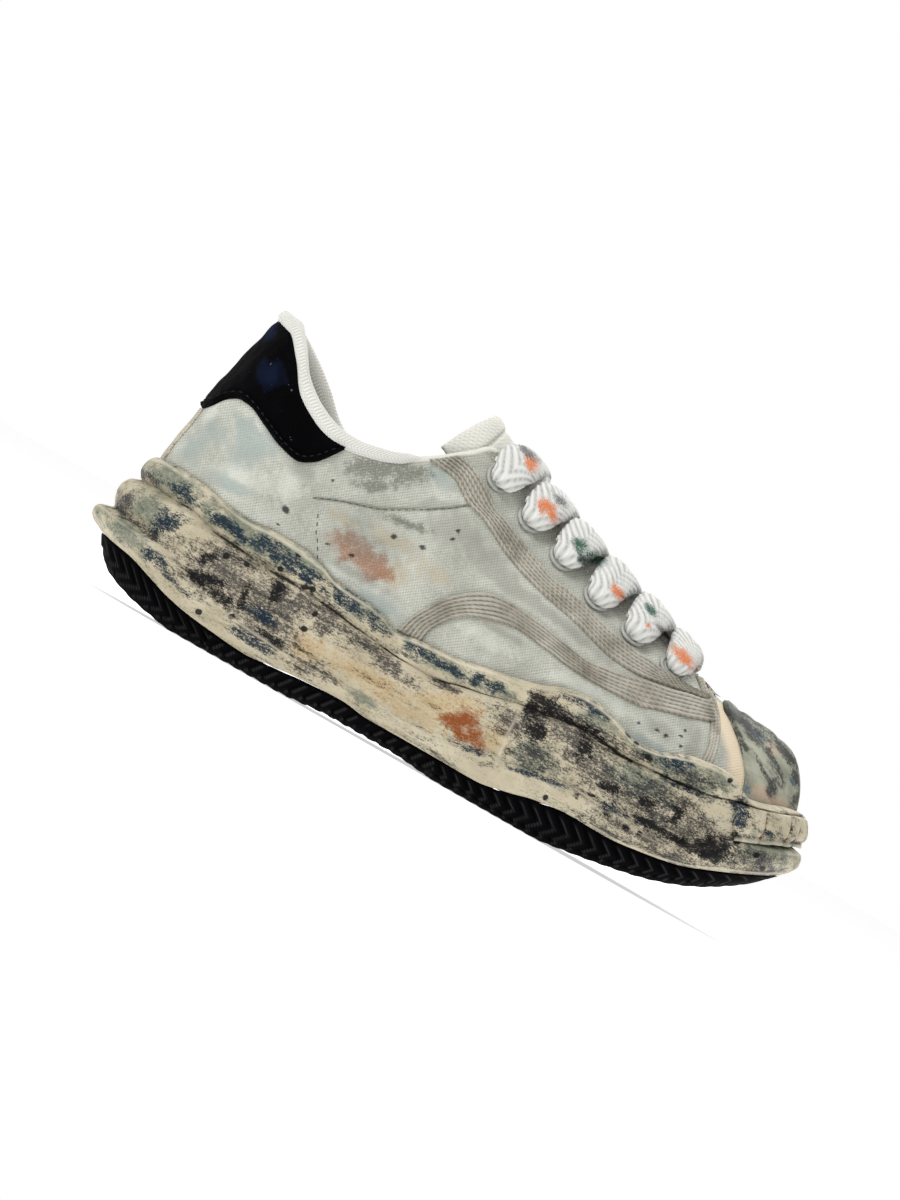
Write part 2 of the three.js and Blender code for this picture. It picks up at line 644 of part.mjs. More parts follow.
// The padded knit lining turned out over the collar: half its height, against ribs from the heel.
const rollHeight = table([0, 1.6], [1.5, 1.7], [2.6, 2.6], [3.6, 3.2], [4.6, 2.6], [5.6, 1.3], [7, 0.8]);
const ROLL_WIDTH = 2.7;
const ROLL_END = 6.8;
function collarRoll() {
  const made = new Solid();
  const steps = 26;
  const sides = 6;
  const rings = Array.from({ length: steps + 1 }, (_, i) => {
    const u = -ROLL_END + (2 * ROLL_END * i) / steps;
    const high = rollHeight(Math.abs(u));
    const wide = ROLL_WIDTH * Math.min(1, 0.35 + high / 3);
    const edge = skin(u, 1, -WALL / 2);
    const out = planNormal(u);
    const middle = edge.z + high + 1;
    return made.ring(
      Array.from({ length: sides }, (_, k) => {
        const angle = (2 * Math.PI * k) / sides;
        const across = wide * Math.cos(angle) - wide + 1.4;
        const up = high * Math.sin(angle);
        return new THREE.Vector3(edge.x + out.x * across, edge.y + out.y * across, middle + up);
      }),
    );
  });
  return made.loft(rings);
}

// ---------------------------------------------------------------- lace

// A flat woven lace: narrow where it leaves the eyelet, full width over the throat.
function strand(path, widths) {
  const made = new Solid();
  const steps = 8;
  const sides = 6;
  const curve = new THREE.CatmullRomCurve3(path, false, "centripetal");
  const width = table(...widths);
  const rings = Array.from({ length: steps + 1 }, (_, i) => {
    const share = i / steps;
    const centre = curve.getPoint(share);
    const tangent = curve.getTangent(share);
    const up = new THREE.Vector3(0, 0, 1);
    const flat = tangent.clone().cross(up).normalize();
    const lift = flat.clone().cross(tangent).normalize();
    const half = width(share) / 2;
    return made.ring(
      Array.from({ length: sides }, (_, k) => {
        const angle = (2 * Math.PI * k) / sides;
        return centre
          .clone()
          .addScaledVector(flat, half * Math.cos(angle))
          .addScaledVector(lift, (LACE.thickness / 2) * Math.sin(angle));
      }),
    );
  });
  return manifoldOf(made.loft(rings).geometry());
}

const OVER_EYELET = 6.5; // the lace's middle above the face, clear of the flange
const OVER_EDGE = 4.6; // above the facing at the throat's edge
const OVER_TONGUE = 3.9;
const throatPoint = (row, side, out) => {
  const [x, z] = EYELETS[row];
  return skin(findOnFace(x, z, side)[0] + 0.12 * -side, 0.985, out);
};
const overEyelet = (row, side) => {
  const { origin, normal } = seats[side < 0 ? 0 : 1][row];
  return origin.clone().addScaledVector(normal, OVER_EYELET);
};
// From the eyelet on one side, over the throat, to just inside the facing's edge on the other side.
function crossing(row, side) {
  const [thisX] = EYELETS[row];
  const [nextX] = EYELETS[row + 1];
  const middleX = (thisX + nextX) / 2 + 1;
  const middle = new THREE.Vector3(middleX, drift(middleX), crest(middleX) + OVER_TONGUE);
  const endX = nextX - 6;
  const end = new THREE.Vector3(endX, -side * 6.5 + drift(endX), crest(endX) + 2.6);
  const path = [overEyelet(row, side), throatPoint(row, side, OVER_EDGE), middle, end];
  return strand(path, [[0, LACE.root], [0.3, LACE.width], [0.8, LACE.width], [1, LACE.root]]);
}

function bottomBar() {
  const row = EYELETS.length - 1;
  const middleX = EYELETS[row][0] + 5.5;
  const middle = new THREE.Vector3(middleX, drift(middleX), crest(middleX) + 6.6);
  const half = (side) => [overEyelet(row, side), throatPoint(row, side, OVER_EDGE)];
  const path = [...half(-1), middle, ...half(1).reverse()];
  return strand(path, [[0, LACE.root], [0.22, LACE.width], [0.78, LACE.width], [1, LACE.root]]);
}

// ---------------------------------------------------------------- the shoe

const CREAM = 0xcfc8b0;
const CANVAS = 0xc4c7be;
const LACE_WHITE = 0xe4e3de;

add("outsole", outsole(), 0x0c0b0e, 0.7);
add("midsole", midsole(), CREAM, 0.6);
add("toe_bumper", manifoldOf(toeBumper().geometry()), CREAM, 0.6);
add("insole", insole(), 0xd8d6cc, 0.9);

const holes = seats.flat().map(punch);
const upper = holes.reduce((made, hole) => made.subtract(hole), manifoldOf(upperShell().geometry()));
add("upper", upper, CANVAS, 0.9);
add("toe_cap", toeCap(), 0x6d6e62, 0.6);
add("heel_tab", heelTab(), 0x07080c, 0.85);
add("heel_strip", heelStrip(), 0xb9b5a4, 0.9);
add("collar_roll", manifoldOf(collarRoll().geometry()), 0xe2e1da, 0.95);
add("tongue", manifoldOf(tongue().geometry()), 0xd0d0c6, 0.9);

["outer", "inner"].forEach((name, i) =>
  seats[i].forEach((place, row) => add(`eyelet_${name}_${row + 1}`, eyelet(place), 0xa9a8a4, 0.5, 0.3)),
);
for (let row = 0; row < EYELETS.length - 1; row++) {
  add(`lace_crossing_${row + 1}`, crossing(row, -1).add(crossing(row, 1)), LACE_WHITE, 0.9);
}
add("lace_bar", bottomBar(), LACE_WHITE, 0.9);

// The origin lies on the floor under the middle of the shoe.
const middle = new THREE.Box3().setFromObject(BODY).getCenter(new THREE.Vector3());
BODY.position.set(-middle.x, -middle.y, 0);

export default BODY;
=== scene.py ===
import math

import bmesh
import bpy
import numpy as np
from mathutils import Matrix, Vector


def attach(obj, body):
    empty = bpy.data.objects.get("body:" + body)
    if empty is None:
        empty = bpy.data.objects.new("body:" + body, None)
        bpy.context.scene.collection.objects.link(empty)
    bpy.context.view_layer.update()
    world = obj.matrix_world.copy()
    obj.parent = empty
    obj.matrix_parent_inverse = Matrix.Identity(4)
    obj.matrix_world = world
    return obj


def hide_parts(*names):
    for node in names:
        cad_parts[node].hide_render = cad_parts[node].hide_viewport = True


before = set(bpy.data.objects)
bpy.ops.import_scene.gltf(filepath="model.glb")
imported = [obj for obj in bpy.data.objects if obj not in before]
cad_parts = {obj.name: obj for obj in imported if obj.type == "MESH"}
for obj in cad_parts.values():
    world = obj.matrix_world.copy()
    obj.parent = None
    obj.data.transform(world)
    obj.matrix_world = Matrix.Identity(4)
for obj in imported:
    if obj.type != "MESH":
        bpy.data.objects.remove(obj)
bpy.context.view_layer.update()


# ------------------------------------------------------------------ the room
# A pale floor under soft daylight from above and in front, with a long lens level with the shoe's side.
# The camera is rolled, so the shoe seems to run down towards its toe.

VIEW_ROLL = math.radians(29.6)
VIEW_MIDDLE = (-0.0152, 0.063)  # what the lens looks at, along the shoe and above the floor
VIEW_HEIGHT = 0.4600  # metres from the top of the frame to the bottom, at the shoe
LENS = 320.0
SENSOR = 36.0

scene = bpy.context.scene
scene.view_settings.view_transform = "Standard"
scene.view_settings.look = "None"

camera = bpy.data.objects.new("camera", bpy.data.cameras.new("camera"))
scene.collection.objects.link(camera)
camera.data.lens = LENS
camera.data.sensor_width = SENSOR
camera.data.clip_start = 0.01
turn = Matrix((
    (math.cos(VIEW_ROLL), -math.sin(VIEW_ROLL), 0),
    (0, 0, -1),
    (math.sin(VIEW_ROLL), math.cos(VIEW_ROLL), 0),
)).to_4x4()
distance = VIEW_HEIGHT * LENS / SENSOR
camera.matrix_world = Matrix.Translation((VIEW_MIDDLE[0], -distance, VIEW_MIDDLE[1])) @ turn
scene.camera = camera


def lamp(name, place, size, watts):
    light = bpy.data.objects.new(name, bpy.data.lights.new(name, "AREA"))
    scene.collection.objects.link(light)
    light.data.size = size
    light.data.energy = watts
    light.location = place
    light.rotation_euler = (Vector((0, 0, 0.05)) - Vector(place)).to_track_quat("-Z", "Y").to_euler()


lamp("window", (-0.75, -1.0, 1.5), 0.8, 19)
lamp("sky", (0.15, 0.35, 1.7), 1.2, 14)
lamp("back_window", (0.6, 1.6, 1.2), 1.2, 12)
scene.world = bpy.data.worlds.new("white_room")
scene.world.use_nodes = True
room = scene.world.node_tree
# The walls look white, but send less light than they show, so that hollows stay dark.
room_light = room.nodes["Background"]
room_light.inputs["Color"].default_value = (1, 1, 1, 1)
room_light.inputs["Strength"].default_value = 0.46
wall_seen = room.nodes.new("ShaderNodeBackground")
wall_seen.inputs["Color"].default_value = (1, 1, 1, 1)
either = room.nodes.new("ShaderNodeMixShader")
seen = room.nodes.new("ShaderNodeLightPath")
room.links.new(seen.outputs["Is Camera Ray"], either.inputs["Fac"])
room.links.new(room_light.outputs[0], either.inputs[1])
room.links.new(wall_seen.outputs[0], either.inputs[2])
room.links.new(either.outputs[0], room.nodes["World Output"].inputs["Surface"])

floor = bpy.data.objects.new("floor", bpy.data.meshes.new("floor"))
scene.collection.objects.link(floor)
FLOOR_REACH = 6.0
floor.data.from_pydata(
    [(sx * FLOOR_REACH, sy * FLOOR_REACH, 0) for sx, sy in ((-1, -1), (1, -1), (1, 1), (-1, 1))],
    [],
    [(0, 1, 2, 3)],
)
floor_white = bpy.data.materials.new("floor_white")
floor_white.use_nodes = True
for key, setting in (
    ("Base Color", (0.8, 0.8, 0.8, 1)),
    ("Roughness", 1.0),
    ("Emission Color", (1, 1, 1, 1)),
    ("Emission Strength", 0.6),
):
    floor_white.node_tree.nodes["Principled BSDF"].inputs[key].default_value = setting
floor.data.materials.append(floor_white)


# ------------------------------------------------------------------ outsole
# Black rubber tread, moulded flat and cemented under the cup, with its edge rolled up the side.
# Wavy ribs cross it from edge to edge and show as slanting strokes along the rim.

MIDDLE = np.array([150.0502, -0.7514, 0.0])  # the pattern's own zero lies at the heel; the frame's is mid-shoe
MM = 0.001
GAP = 0.3  # between pieces that meet on a curve


def calm(before, after):
    both = np.where(before + after == 0, 1, before + after)
    return np.where(before * after > 0, 2 * before * after / both, 0.0)


def hermite(p0, p1, m0, m1, s):
    fall = 2 * s**3 - 3 * s**2
    return p0 * (fall + 1) - p1 * fall + m0 * (s**3 - 2 * s**2 + s) + m1 * (s**3 - s**2)


def line(*pairs):
    """A smooth function of x through (x, value) pairs, level past both ends, that never overshoots."""
    x, value = np.array(pairs, float).T
    width = np.diff(x)
    rise = np.diff(value) / width
    slope = np.zeros(len(x))
    slope[1:-1] = calm(rise[:-1], rise[1:])

    def at(place):
        place = np.clip(np.asarray(place, float), x[0], x[-1])
        i = np.clip(np.searchsorted(x, place, side="right") - 1, 0, len(x) - 2)
        s = (place - x[i]) / width[i]
        return hermite(value[i], value[i + 1], slope[i] * width[i], slope[i + 1] * width[i], s)

    return at


def loop(values, quiet=False):
    """A closed function of u through values at 0, 1, 2 and so on. A quiet one never overshoots."""
    value = np.asarray(values, float)
    after = np.roll(value, -1) - value
    before = value - np.roll(value, 1)
    slope = calm(before, after) if quiet else (before + after) / 2
    count = len(value)

    def at(u):
        whole = np.floor(u).astype(int)
        i = whole % count
        j = (i + 1) % count
        return hermite(value[i], value[j], slope[i], slope[j], u - whole)

    return at


# Ribs of the last: foot (x, outer y, inner y), top outside, top inside, swell (out, up), crown (x, y, z).
RIBS = (
    ((12.3, 0, 0), (26, 0, 124.3), None, (1.5, 21), (-5.7, 0, -24.3)),
    ((14.8, -12.8, 12.8), (27.3, -9.8, 124.1), None, (1.5, 21), (-4.8, 2.6, -24)),
    ((22, -22.8, 22.3), (32, -17.8, 122.4), (32, 17.8, 121), (1.8, 21), (-3, 4.2, -23.5)),
    ((35, -29.6, 28.4), (39.2, -23.8, 114), (42, 24, 113.8), (2.2, 20), (-1, 5, -22)),
    ((53, -33, 30.8), (48, -27.8, 102.4), (54.5, 28.5, 104), (2.4, 18), (0, 5, -20)),
    ((73, -34, 31.2), (67, -31, 94.3), (70, 30.4, 94), (2.4, 17), (0, 4.5, -19)),
    ((92, -34.4, 30.4), (86, -29.4, 97.8), None, (2.4, 18), (0.5, 5.5, -20)),
    ((108, -35.1, 30.2), (101.5, -25.8, 106), None, (2.4, 20), (1, 7, -19)),
    ((122, -36.3, 31.2), (113.5, -21.4, 115.3), None, (2.4, 23), (1.5, 9, -17)),
    ((135, -38.2, 33.2), (121.8, -17.8, 121.2), None, (2.5, 26), (2, 10.5, -15)),
    ((151, -41, 36.6), (138, -15, 115.3), None, (2.5, 28), (2, 12, -13)),
    ((172, -44.6, 41), (160, -12.8, 107.5), None, (2.5, 27), (2, 15, -10.5)),
    ((194, -47.2, 44.6), (184, -11.4, 99.2), None, (2.5, 25), (2, 18, -8.5)),
    ((216, -48, 46.4), (206, -10.3, 92.4), None, (2.5, 24), (2.5, 21, -6.5)),
    ((236, -45.6, 45.7), (222, -8.4, 87.7), None, (2.4, 23), (3, 23, -4.5)),
    ((252, -40.3, 42), (230, -5, 85.4), None, (2.4, 22), (5, 23.5, -3.6)),
    ((264.5, -35, 37.6), (233, 0, 84.5), None, (2.4, 21), (7, 23, -3)),
    ((275, -26.8, 31), (240, 0, 81.8), None, (2.5, 20), (12, 20, -2.4)),
    ((283.8, -14.6, 20), (249, 0, 79.8), None, (2.7, 19), (19, 13, -1.2)),
    ((288.8, 2.8, 2.8), (262, 0, 78.6), None, (3, 18), (23, 0, 0.2)),
)
TOE = len(RIBS) - 1
THROAT_RIB = 16
TURNS = 2 * TOE


def around(pick):
    """Once round the shoe: the outer side from heel to toe, then the inner side back to the heel."""
    return [pick(rib, -1) for rib in RIBS] + [pick(rib, 1) for rib in RIBS[1:TOE][::-1]]


def rib_top(rib, side):
    if side < 0:
        return rib[1]
    return rib[2] or (rib[1][0], -rib[1][1], rib[1][2])


plan_x = loop(around(lambda rib, side: rib[0][0]))
plan_y = loop(around(lambda rib, side: rib[0][1] if side < 0 else rib[0][2]))


def plan_normal(u):
    step = 0.02
    along = np.stack([plan_x(u + step) - plan_x(u - step), plan_y(u + step) - plan_y(u - step)], -1)
    along /= np.linalg.norm(along, axis=-1, keepdims=True)
    return np.stack([along[..., 1], -along[..., 0]], -1)


# The sole's side-view lines, height against x, in millimetres.
ground = line(
    (3, 19), (6, 15.5), (10, 11), (15, 8), (20, 6), (30, 3), (40, 1.1), (47, 0), (94, 0), (118, 1.6),
    (142, 1.6), (166, 0), (206, 0), (220, 1.6), (235, 4), (250, 7), (260, 10), (270, 14), (280, 19.5),
    (290, 26), (298, 32),
)
SOLE = {
    "tread": line(
        (4, 20), (13, 18.6), (20, 17.5), (30, 14.5), (40, 11.3), (50, 9.2), (60, 8), (78, 6.6), (90, 8),
        (118, 9.5), (130, 8.2), (150, 8.3), (176, 8.1), (190, 10.5), (200, 13), (215, 14.5), (230, 14.2),
        (245, 15.7), (260, 18.4), (270, 22), (280, 26), (290, 30.3), (298, 33.5),
    ),
    "lip": line(
        (-2, 30.6), (12, 29.2), (25, 27.4), (40, 25), (56, 21), (75, 18), (92, 16), (130, 16), (152, 15.8),
        (166, 17.6), (180, 19.6), (200, 23), (212, 24.6), (221, 24), (230, 25.8), (240, 23.4), (252, 24),
        (262, 29), (272, 36), (282, 40), (292, 44.4), (299, 46.6),
    ),
    "seam": line(
        (5, 44.6), (22, 44.5), (32, 43.8), (45, 41.6), (60, 39.6), (80, 38.6), (92, 38.2), (110, 36.4),
        (130, 34), (142, 34.2), (155, 36.6), (170, 40), (185, 43), (200, 45.5), (210, 45), (220, 43.6),
        (240, 45.2), (256, 47.2), (268, 50), (280, 53), (287, 55.4), (294, 57.4),
    ),
    "brim": line(
        (6, 54), (14, 55.3), (22, 55.2), (32, 54.4), (42, 52.6), (54, 51.4), (66, 52.3), (78, 51.9),
        (86, 50.3), (94, 47.4), (110, 46), (117, 44.6), (123, 41.8), (131, 43.2), (148, 44.7), (160, 47),
        (180, 51.2), (190, 55), (200, 56.6), (208, 55.6), (216, 52.8), (223, 50.7), (231, 51.2), (240, 54.4),
        (248, 56.8), (257, 57.6), (263, 57.2), (268, 54.6), (273, 52.4), (280, 53.4), (287, 55.6), (294, 57.6),
    ),
}
# How far each line of the sole stands out from the upper's foot, against x.
REACH = {
    "tread": line((12, 6.6), (60, 5.6), (140, 5.2), (215, 6), (289, 8)),
    "lip": line((12, 13.6), (40, 11.2), (75, 9.6), (140, 9), (190, 10), (225, 10.4), (260, 10.6), (289, 12.6)),
    "valley": line((12, 7.4), (40, 7), (62, 8.4), (90, 7.2), (140, 6), (175, 7), (215, 7.6), (262, 6.4), (289, 6)),
    "middle": line(
        (12, 8.8), (40, 8.6), (65, 8), (100, 6.2), (140, 5.4), (175, 6.6), (195, 8), (235, 8), (262, 6), (289, 5.8),
    ),
    "seam": line((12, 3.4), (140, 3.4), (230, 3.6), (262, 4.2), (289, 5.4)),
    "foxing": line((12, 5), (60, 4.8), (140, 4.2), (200, 5), (255, 5), (275, 5), (289, 5.4)),
    "brim": line((12, 3), (140, 2.9), (250, 3.1), (262, 4.2), (289, 5.2)),
}
SOLE_LENGTH = 303
WAVE_SHIFT = 13  # the inner side's waves run this far ahead of the outer side's


def height(name, u, x):
    inner = (u % TURNS) > TOE
    ahead = WAVE_SHIFT * np.sin(np.pi * np.clip(x / SOLE_LENGTH, 0, 1)) ** 2
    return SOLE[name](np.where(inner, x - ahead, x))


def wall(u, out, low, high, share):
    """Points of the sole's wall: out from the upper's foot, part of the way between two lines."""
    normal = plan_normal(u)
    x = plan_x(u) + normal[..., 0] * out
    y = plan_y(u) + normal[..., 1] * out
    z = height(low, u, x) * (1 - share) + height(high, u, x) * share
    return np.stack([x, y, z], -1)


def grid_faces(rows, columns, closed=False):
    """Quads of a grid of points, row after row. A closed grid joins its last column to its first."""
    row, column = np.meshgrid(np.arange(rows - 1), np.arange(columns - (not closed)), indexing="ij")
    beside = (column + 1) % columns
    here, after = row * columns, (row + 1) * columns
    return np.stack([here + column, here + beside, after + beside, after + column], -1).reshape(-1, 4)


def make(name, points, faces, values=None, weld=0.0, slots=(), slot_of=None, outward=False):
    """A smooth mesh piece from pattern points in millimetres, with one number per point for each named value."""
    mesh = bpy.data.meshes.new(name)
    corners = [tuple(one) for one in np.asarray(faces, object).tolist()] if len(faces) else []
    mesh.from_pydata((np.asarray(points) - MIDDLE) * MM, [], corners)
    for key, numbers in (values or {}).items():
        mesh.attributes.new(key, "FLOAT", "POINT").data.foreach_set("value", np.asarray(numbers, np.float32))
    for material in slots:
        mesh.materials.append(material)
    if slot_of is not None:
        mesh.polygons.foreach_set("material_index", np.asarray(slot_of, np.int32))
    if weld or outward:
        body = bmesh.new()
        body.from_mesh(mesh)
        if weld:
            bmesh.ops.remove_doubles(body, verts=body.verts, dist=weld * MM)
        bmesh.ops.recalc_face_normals(body, faces=body.faces)
        body.to_mesh(mesh)
        body.free()
    mesh.shade_smooth()
    made = bpy.data.objects.new(name, mesh)
    scene.collection.objects.link(made)
    return made


class Wire:
    """A shader socket that can be used in sums. The other nodes come from its node method."""

    def __init__(self, tree, socket=None):
        self.tree = tree
        self.socket = socket

    def node(self, kind, sockets=None, out=0, **settings):
        made = self.tree.nodes.new(kind)
        for key, value in settings.items():
            setattr(made, key, value)
        for key, value in (sockets or {}).items():
            if isinstance(value, Wire):
                self.tree.links.new(value.socket, made.inputs[key])
            else:
                made.inputs[key].default_value = value
        return Wire(self.tree, made.outputs[out])

    def maths(self, operation, first, second=0.0):
        return self.node("ShaderNodeMath", {0: first, 1: second}, operation=operation)

    def __add__(self, other):
        return self.maths("ADD", self, other)

    def __mul__(self, other):
        return self.maths("MULTIPLY", self, other)

    def __sub__(self, other):
        return self.maths("SUBTRACT", self, other)

    def __rsub__(self, other):
        return self.maths("SUBTRACT", other, self)

    def __truediv__(self, other):
        return self.maths("DIVIDE", self, other)

    __radd__ = __add__
    __rmul__ = __mul__

    def clamp(self):
        return self.node("ShaderNodeClamp", {0: self})

    def sine(self):
        return self.maths("SINE", self)

    def mix(self, first, second):
        """This number says how much of the second colour covers the first."""
        return self.node("ShaderNodeMix", {0: self, 6: first, 7: second}, out=2, data_type="RGBA")

    def value(self, name):
        return self.node("ShaderNodeAttribute", out="Fac", attribute_name=name)

    def place(self):
        return self.node("ShaderNodeTexCoord", out="Object")

    def axes(self):
        """Wires that carry the place's x, y and z."""
        parts = self.node("ShaderNodeSeparateXYZ", {0: self.place()}).socket.node
        return [Wire(self.tree, parts.outputs[key]) for key in "XYZ"]

    def noise(self, size, detail=3.0, rough=0.55, stretch=None):
        """Cloudy grain from 0 to 1, whose lumps are size millimetres across."""
        where = self.place()
        if stretch is not None:
            where = self.node("ShaderNodeMapping", {"Vector": where, "Scale": stretch})
        sockets = {"Vector": where, "Scale": 1 / (size * MM), "Detail": detail, "Roughness": rough}
        return self.node("ShaderNodeTexNoise", sockets, out="Fac")


def colour(red, green, blue):
    """A screen colour, 0 to 255, as the shader's linear one."""
    parts = (red / 255, green / 255, blue / 255)
    linear = [part / 12.92 if part <= 0.04045 else ((part + 0.055) / 1.055) ** 2.4 for part in parts]
    return (*linear, 1.0)


def finish(name, roughness=0.8, **fixed):
    """A new material with its shader's fixed sockets set, and a wire to build its nodes from."""
    made = bpy.data.materials.new(name)
    made.use_nodes = True
    shader = made.node_tree.nodes["Principled BSDF"]
    shader.inputs["Roughness"].default_value = roughness
    for key, value in fixed.items():
        shader.inputs[key.replace("_", " ")].default_value = value
    return made, Wire(made.node_tree), shader


def connect(shader, **wires):
    for key, wire in wires.items():
        wire.tree.links.new(wire.socket, shader.inputs[key.replace("_", " ")])


def bumped(wire, relief, depth):
    """A normal from a relief of 0 to 1 that stands depth millimetres high."""
    return wire.node("ShaderNodeBump", {"Height": relief, "Distance": depth * MM, "Strength": 1.0})


def tread_rubber():
    made, wire, shader = finish("tread_rubber", 0.85, Specular_IOR_Level=0.03)
    rib = wire.value("rib")
    dust = ((wire.noise(9, 4) - 0.48) * 2.2).clamp() * (1 - rib)
    paler = wire.value("paler")
    # Painted shade: the rib grooves are a shade blacker than the crests.
    black = rib.clamp().mix(colour(1, 1, 2), colour(6, 5, 7))
    connect(
        shader,
        Base_Color=(dust * 0.03 + paler * 0.7).clamp().mix(black, colour(58, 56, 58)),
        Roughness=wire.noise(14, 2) * 0.2 + 0.7,
        Normal=bumped(wire, wire.noise(0.8, 3), 0.12),
    )
    return made


# From the rim inwards: how far in, and how far down towards the ground.
ROLL = ((0.3, 0), (0.9, 0.3), (3.2, 0.68), (9, 0.97), (15, 1))
RIB_PITCH = 5.7
RIB_DEPTH = 0.8
TREAD_WAIST = (62, 160)  # between these the ribs run straight and lean, and outside them they bend
WAIST_LEAN = -0.75
HEEL_BEND, TOE_BEND = 1.5, 1.1
PLAIN_BAND = 129.5  # where a smooth band crosses the tread


def spread(points, count):
    """Control rows brought to count rows along a smooth curve through them. Returns each row's place too."""
    points = np.asarray(points, float)
    place = np.linspace(0, len(points) - 1, count)
    i = np.clip(place.astype(int), 0, len(points) - 2)
    slope = np.empty_like(points)
    slope[1:-1] = (points[2:] - points[:-2]) / 2
    slope[0] = points[1] - points[0]
    slope[-1] = points[-1] - points[-2]
    s = (place - i).reshape((-1,) + (1,) * (points.ndim - 1))
    return hermite(points[i], points[i + 1], slope[i], slope[i + 1], s), place


def outsole():
    along = 500
    rolled = 26
    flat = 52
    u = np.linspace(0, TOE, along)
    sides = []
    for turn_u in (u, TURNS - u):
        rows = []
        for inset, depth in ROLL:
            row = wall(turn_u, REACH["tread"](plan_x(turn_u)) - inset, "tread", "tread", 0)
            top = height("tread", turn_u, row[:, 0]) - GAP - 0.06
            row[:, 2] = top - (top - ground(row[:, 0])) * depth
            rows.append(row)
        sides.append(spread(rows, rolled)[0])
    outer, inner = sides
    share = np.linspace(0, 1, flat)[1:-1, None, None]
    bottom = outer[-1] * (1 - share) + inner[-1] * share
    bottom[..., 2] = ground(bottom[..., 0])
    rows = np.concatenate([outer, bottom, inner[::-1]])
    # Ribs: strokes that lean with the distance from the rim, bent into wide V shapes under the heel and toe.
    x, y, z = rows[..., 0], rows[..., 1], rows[..., 2]
    rise = np.abs(z - (ground(x) + 0.45 * (height("tread", np.broadcast_to(u, x.shape), x) - ground(x))))
    waist = (x >= TREAD_WAIST[0]) & (x < TREAD_WAIST[1])
    bend = np.where(waist, 0.0, np.where(x < TREAD_WAIST[0], HEEL_BEND, TOE_BEND))
    lean = np.where(waist, WAIST_LEAN * z, 0.0)
    wavy = 4.5 * np.abs(((y / 26 + 100) % 2) - 1)
    phase = (x + bend * rise + lean + np.where(z < ground(x) + 2, wavy, 0)) / RIB_PITCH
    beat = np.abs((phase % 1) - 0.5) * 2
    rib = np.clip(1.5 - 2.1 * beat, 0, 1)
    # A paler stroke along one flank of each rib, on the rim only.
    paler = np.exp(-(((phase % 1 - 0.22) / 0.075) ** 2)) * (z > ground(x) + 0.6)
    plain = np.exp(-(((x - PLAIN_BAND) / 2.6) ** 2)) * (z > ground(x) + 1)
    rib = np.maximum(rib, plain)
    edge = np.minimum(np.arange(len(rows)), np.arange(len(rows))[::-1])
    fade = np.clip((edge - 2) / 3, 0, 1)[:, None]
    # At the heel and the toe the ribs only show on the sides, and the outline stays smooth.
    calmer = np.clip(1 - np.abs(x - 108) / 60, 0.3, 1)
    paler = paler * fade * (1 - plain)
    sink = RIB_DEPTH * (1 - rib) * fade * np.where(z > ground(x) + 2, 1, calmer)
    inward = np.array([150, 0, 30]) - rows
    inward[..., 0] = 0
    steep = np.clip((z - ground(x)) / 3.0, 0, 1)[..., None]
    inward /= np.linalg.norm(inward, axis=-1, keepdims=True)
    upward = np.array([0.0, 0.0, 1.0])
    push = inward * steep + upward * (1 - steep)
    rows = rows + push * sink[..., None]
    rows[..., 2] = np.maximum(rows[..., 2], 0)
    top = rows[0] * 0.5 + rows[-1] * 0.5
    rows = np.concatenate([rows, rows[-1:] * 0.75 + rows[:1] * 0.25, top[None], rows[-1:] * 0.25 + rows[:1] * 0.75])
    count = len(rows)
    faces = grid_faces(along, count, closed=True)
    points = rows.transpose(1, 0, 2).reshape(-1, 3)
    values = {
        "rib": np.concatenate([rib, np.ones((3, along))]).T.reshape(-1),
        "paler": np.concatenate([paler, np.zeros((3, along))]).T.reshape(-1),
    }
    return make("outsole_tread", points, faces, values, weld=0.02, slots=[tread_rubber()])


tread = outsole()
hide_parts("outsole")
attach(tread, "root")


# ------------------------------------------------------------------ midsole
# One moulded cup of cream rubber: a flared lip, a hollow middle band and a rounded foxing bead above a crease.
# It was cast soft and lumpy, then sponged by hand with dark blue, grey-black and rust paint, and scuffed.
# Its edges carry painted highlights, and its creases and a few dark marks carry painted shade.


def lumps(a, b, size, seed):
    """Soft uneven waves over two coordinates, about -1 to 1, size millimetres from crest to crest."""
    chance = np.random.default_rng(seed)
    total = 0
    for _ in range(7):
        angle, phase = chance.uniform(0, 2 * np.pi, 2)
        length = size * chance.uniform(0.7, 1.5)
        total = total + np.sin((a * np.cos(angle) + b * np.sin(angle)) * 2 * np.pi / length + phase)
    return total / 3.2


OTHER_END = 292  # the inner side's marks are counted back from here


def smudges(points, marks, seam=None, alike=False):
    """How strongly soft ellipses cover each point. A mark is x, z, half length, half height, tilt in degrees."""
    x, y, z = points[:, 0], points[:, 1], points[:, 2]
    cover = np.zeros(len(points))
    ragged = lumps(x, z * 1.6, 9, 17) + lumps(x, z, 4, 18)
    for mark_x, mark_z, long, high, tilt in marks:
        for side in (-1, 1):
            here_x, here_z = mark_x, mark_z
            if side > 0 and not alike:  # the inner side has the same kinds of smears, in other places
                here_x = OTHER_END - mark_x
                here_z = mark_z + (seam(here_x) - seam(mark_x) if seam else 0)
            turned = math.radians(tilt) * -side
            dx, dz = x - here_x, z - here_z
            a = (dx * math.cos(turned) + dz * math.sin(turned)) / long
            b = (dz * math.cos(turned) - dx * math.sin(turned)) / high
            ring = np.sqrt(a * a + b * b) + 0.16 * ragged
            near = np.clip(0.5 + y * side / 3, 0, 1) if alike else y * side > 0
            here = np.clip(1.12 - 0.62 * np.maximum(ring, 0) ** 1.5, 0, 1) * near
            cover = cover + here - cover * here
    return cover


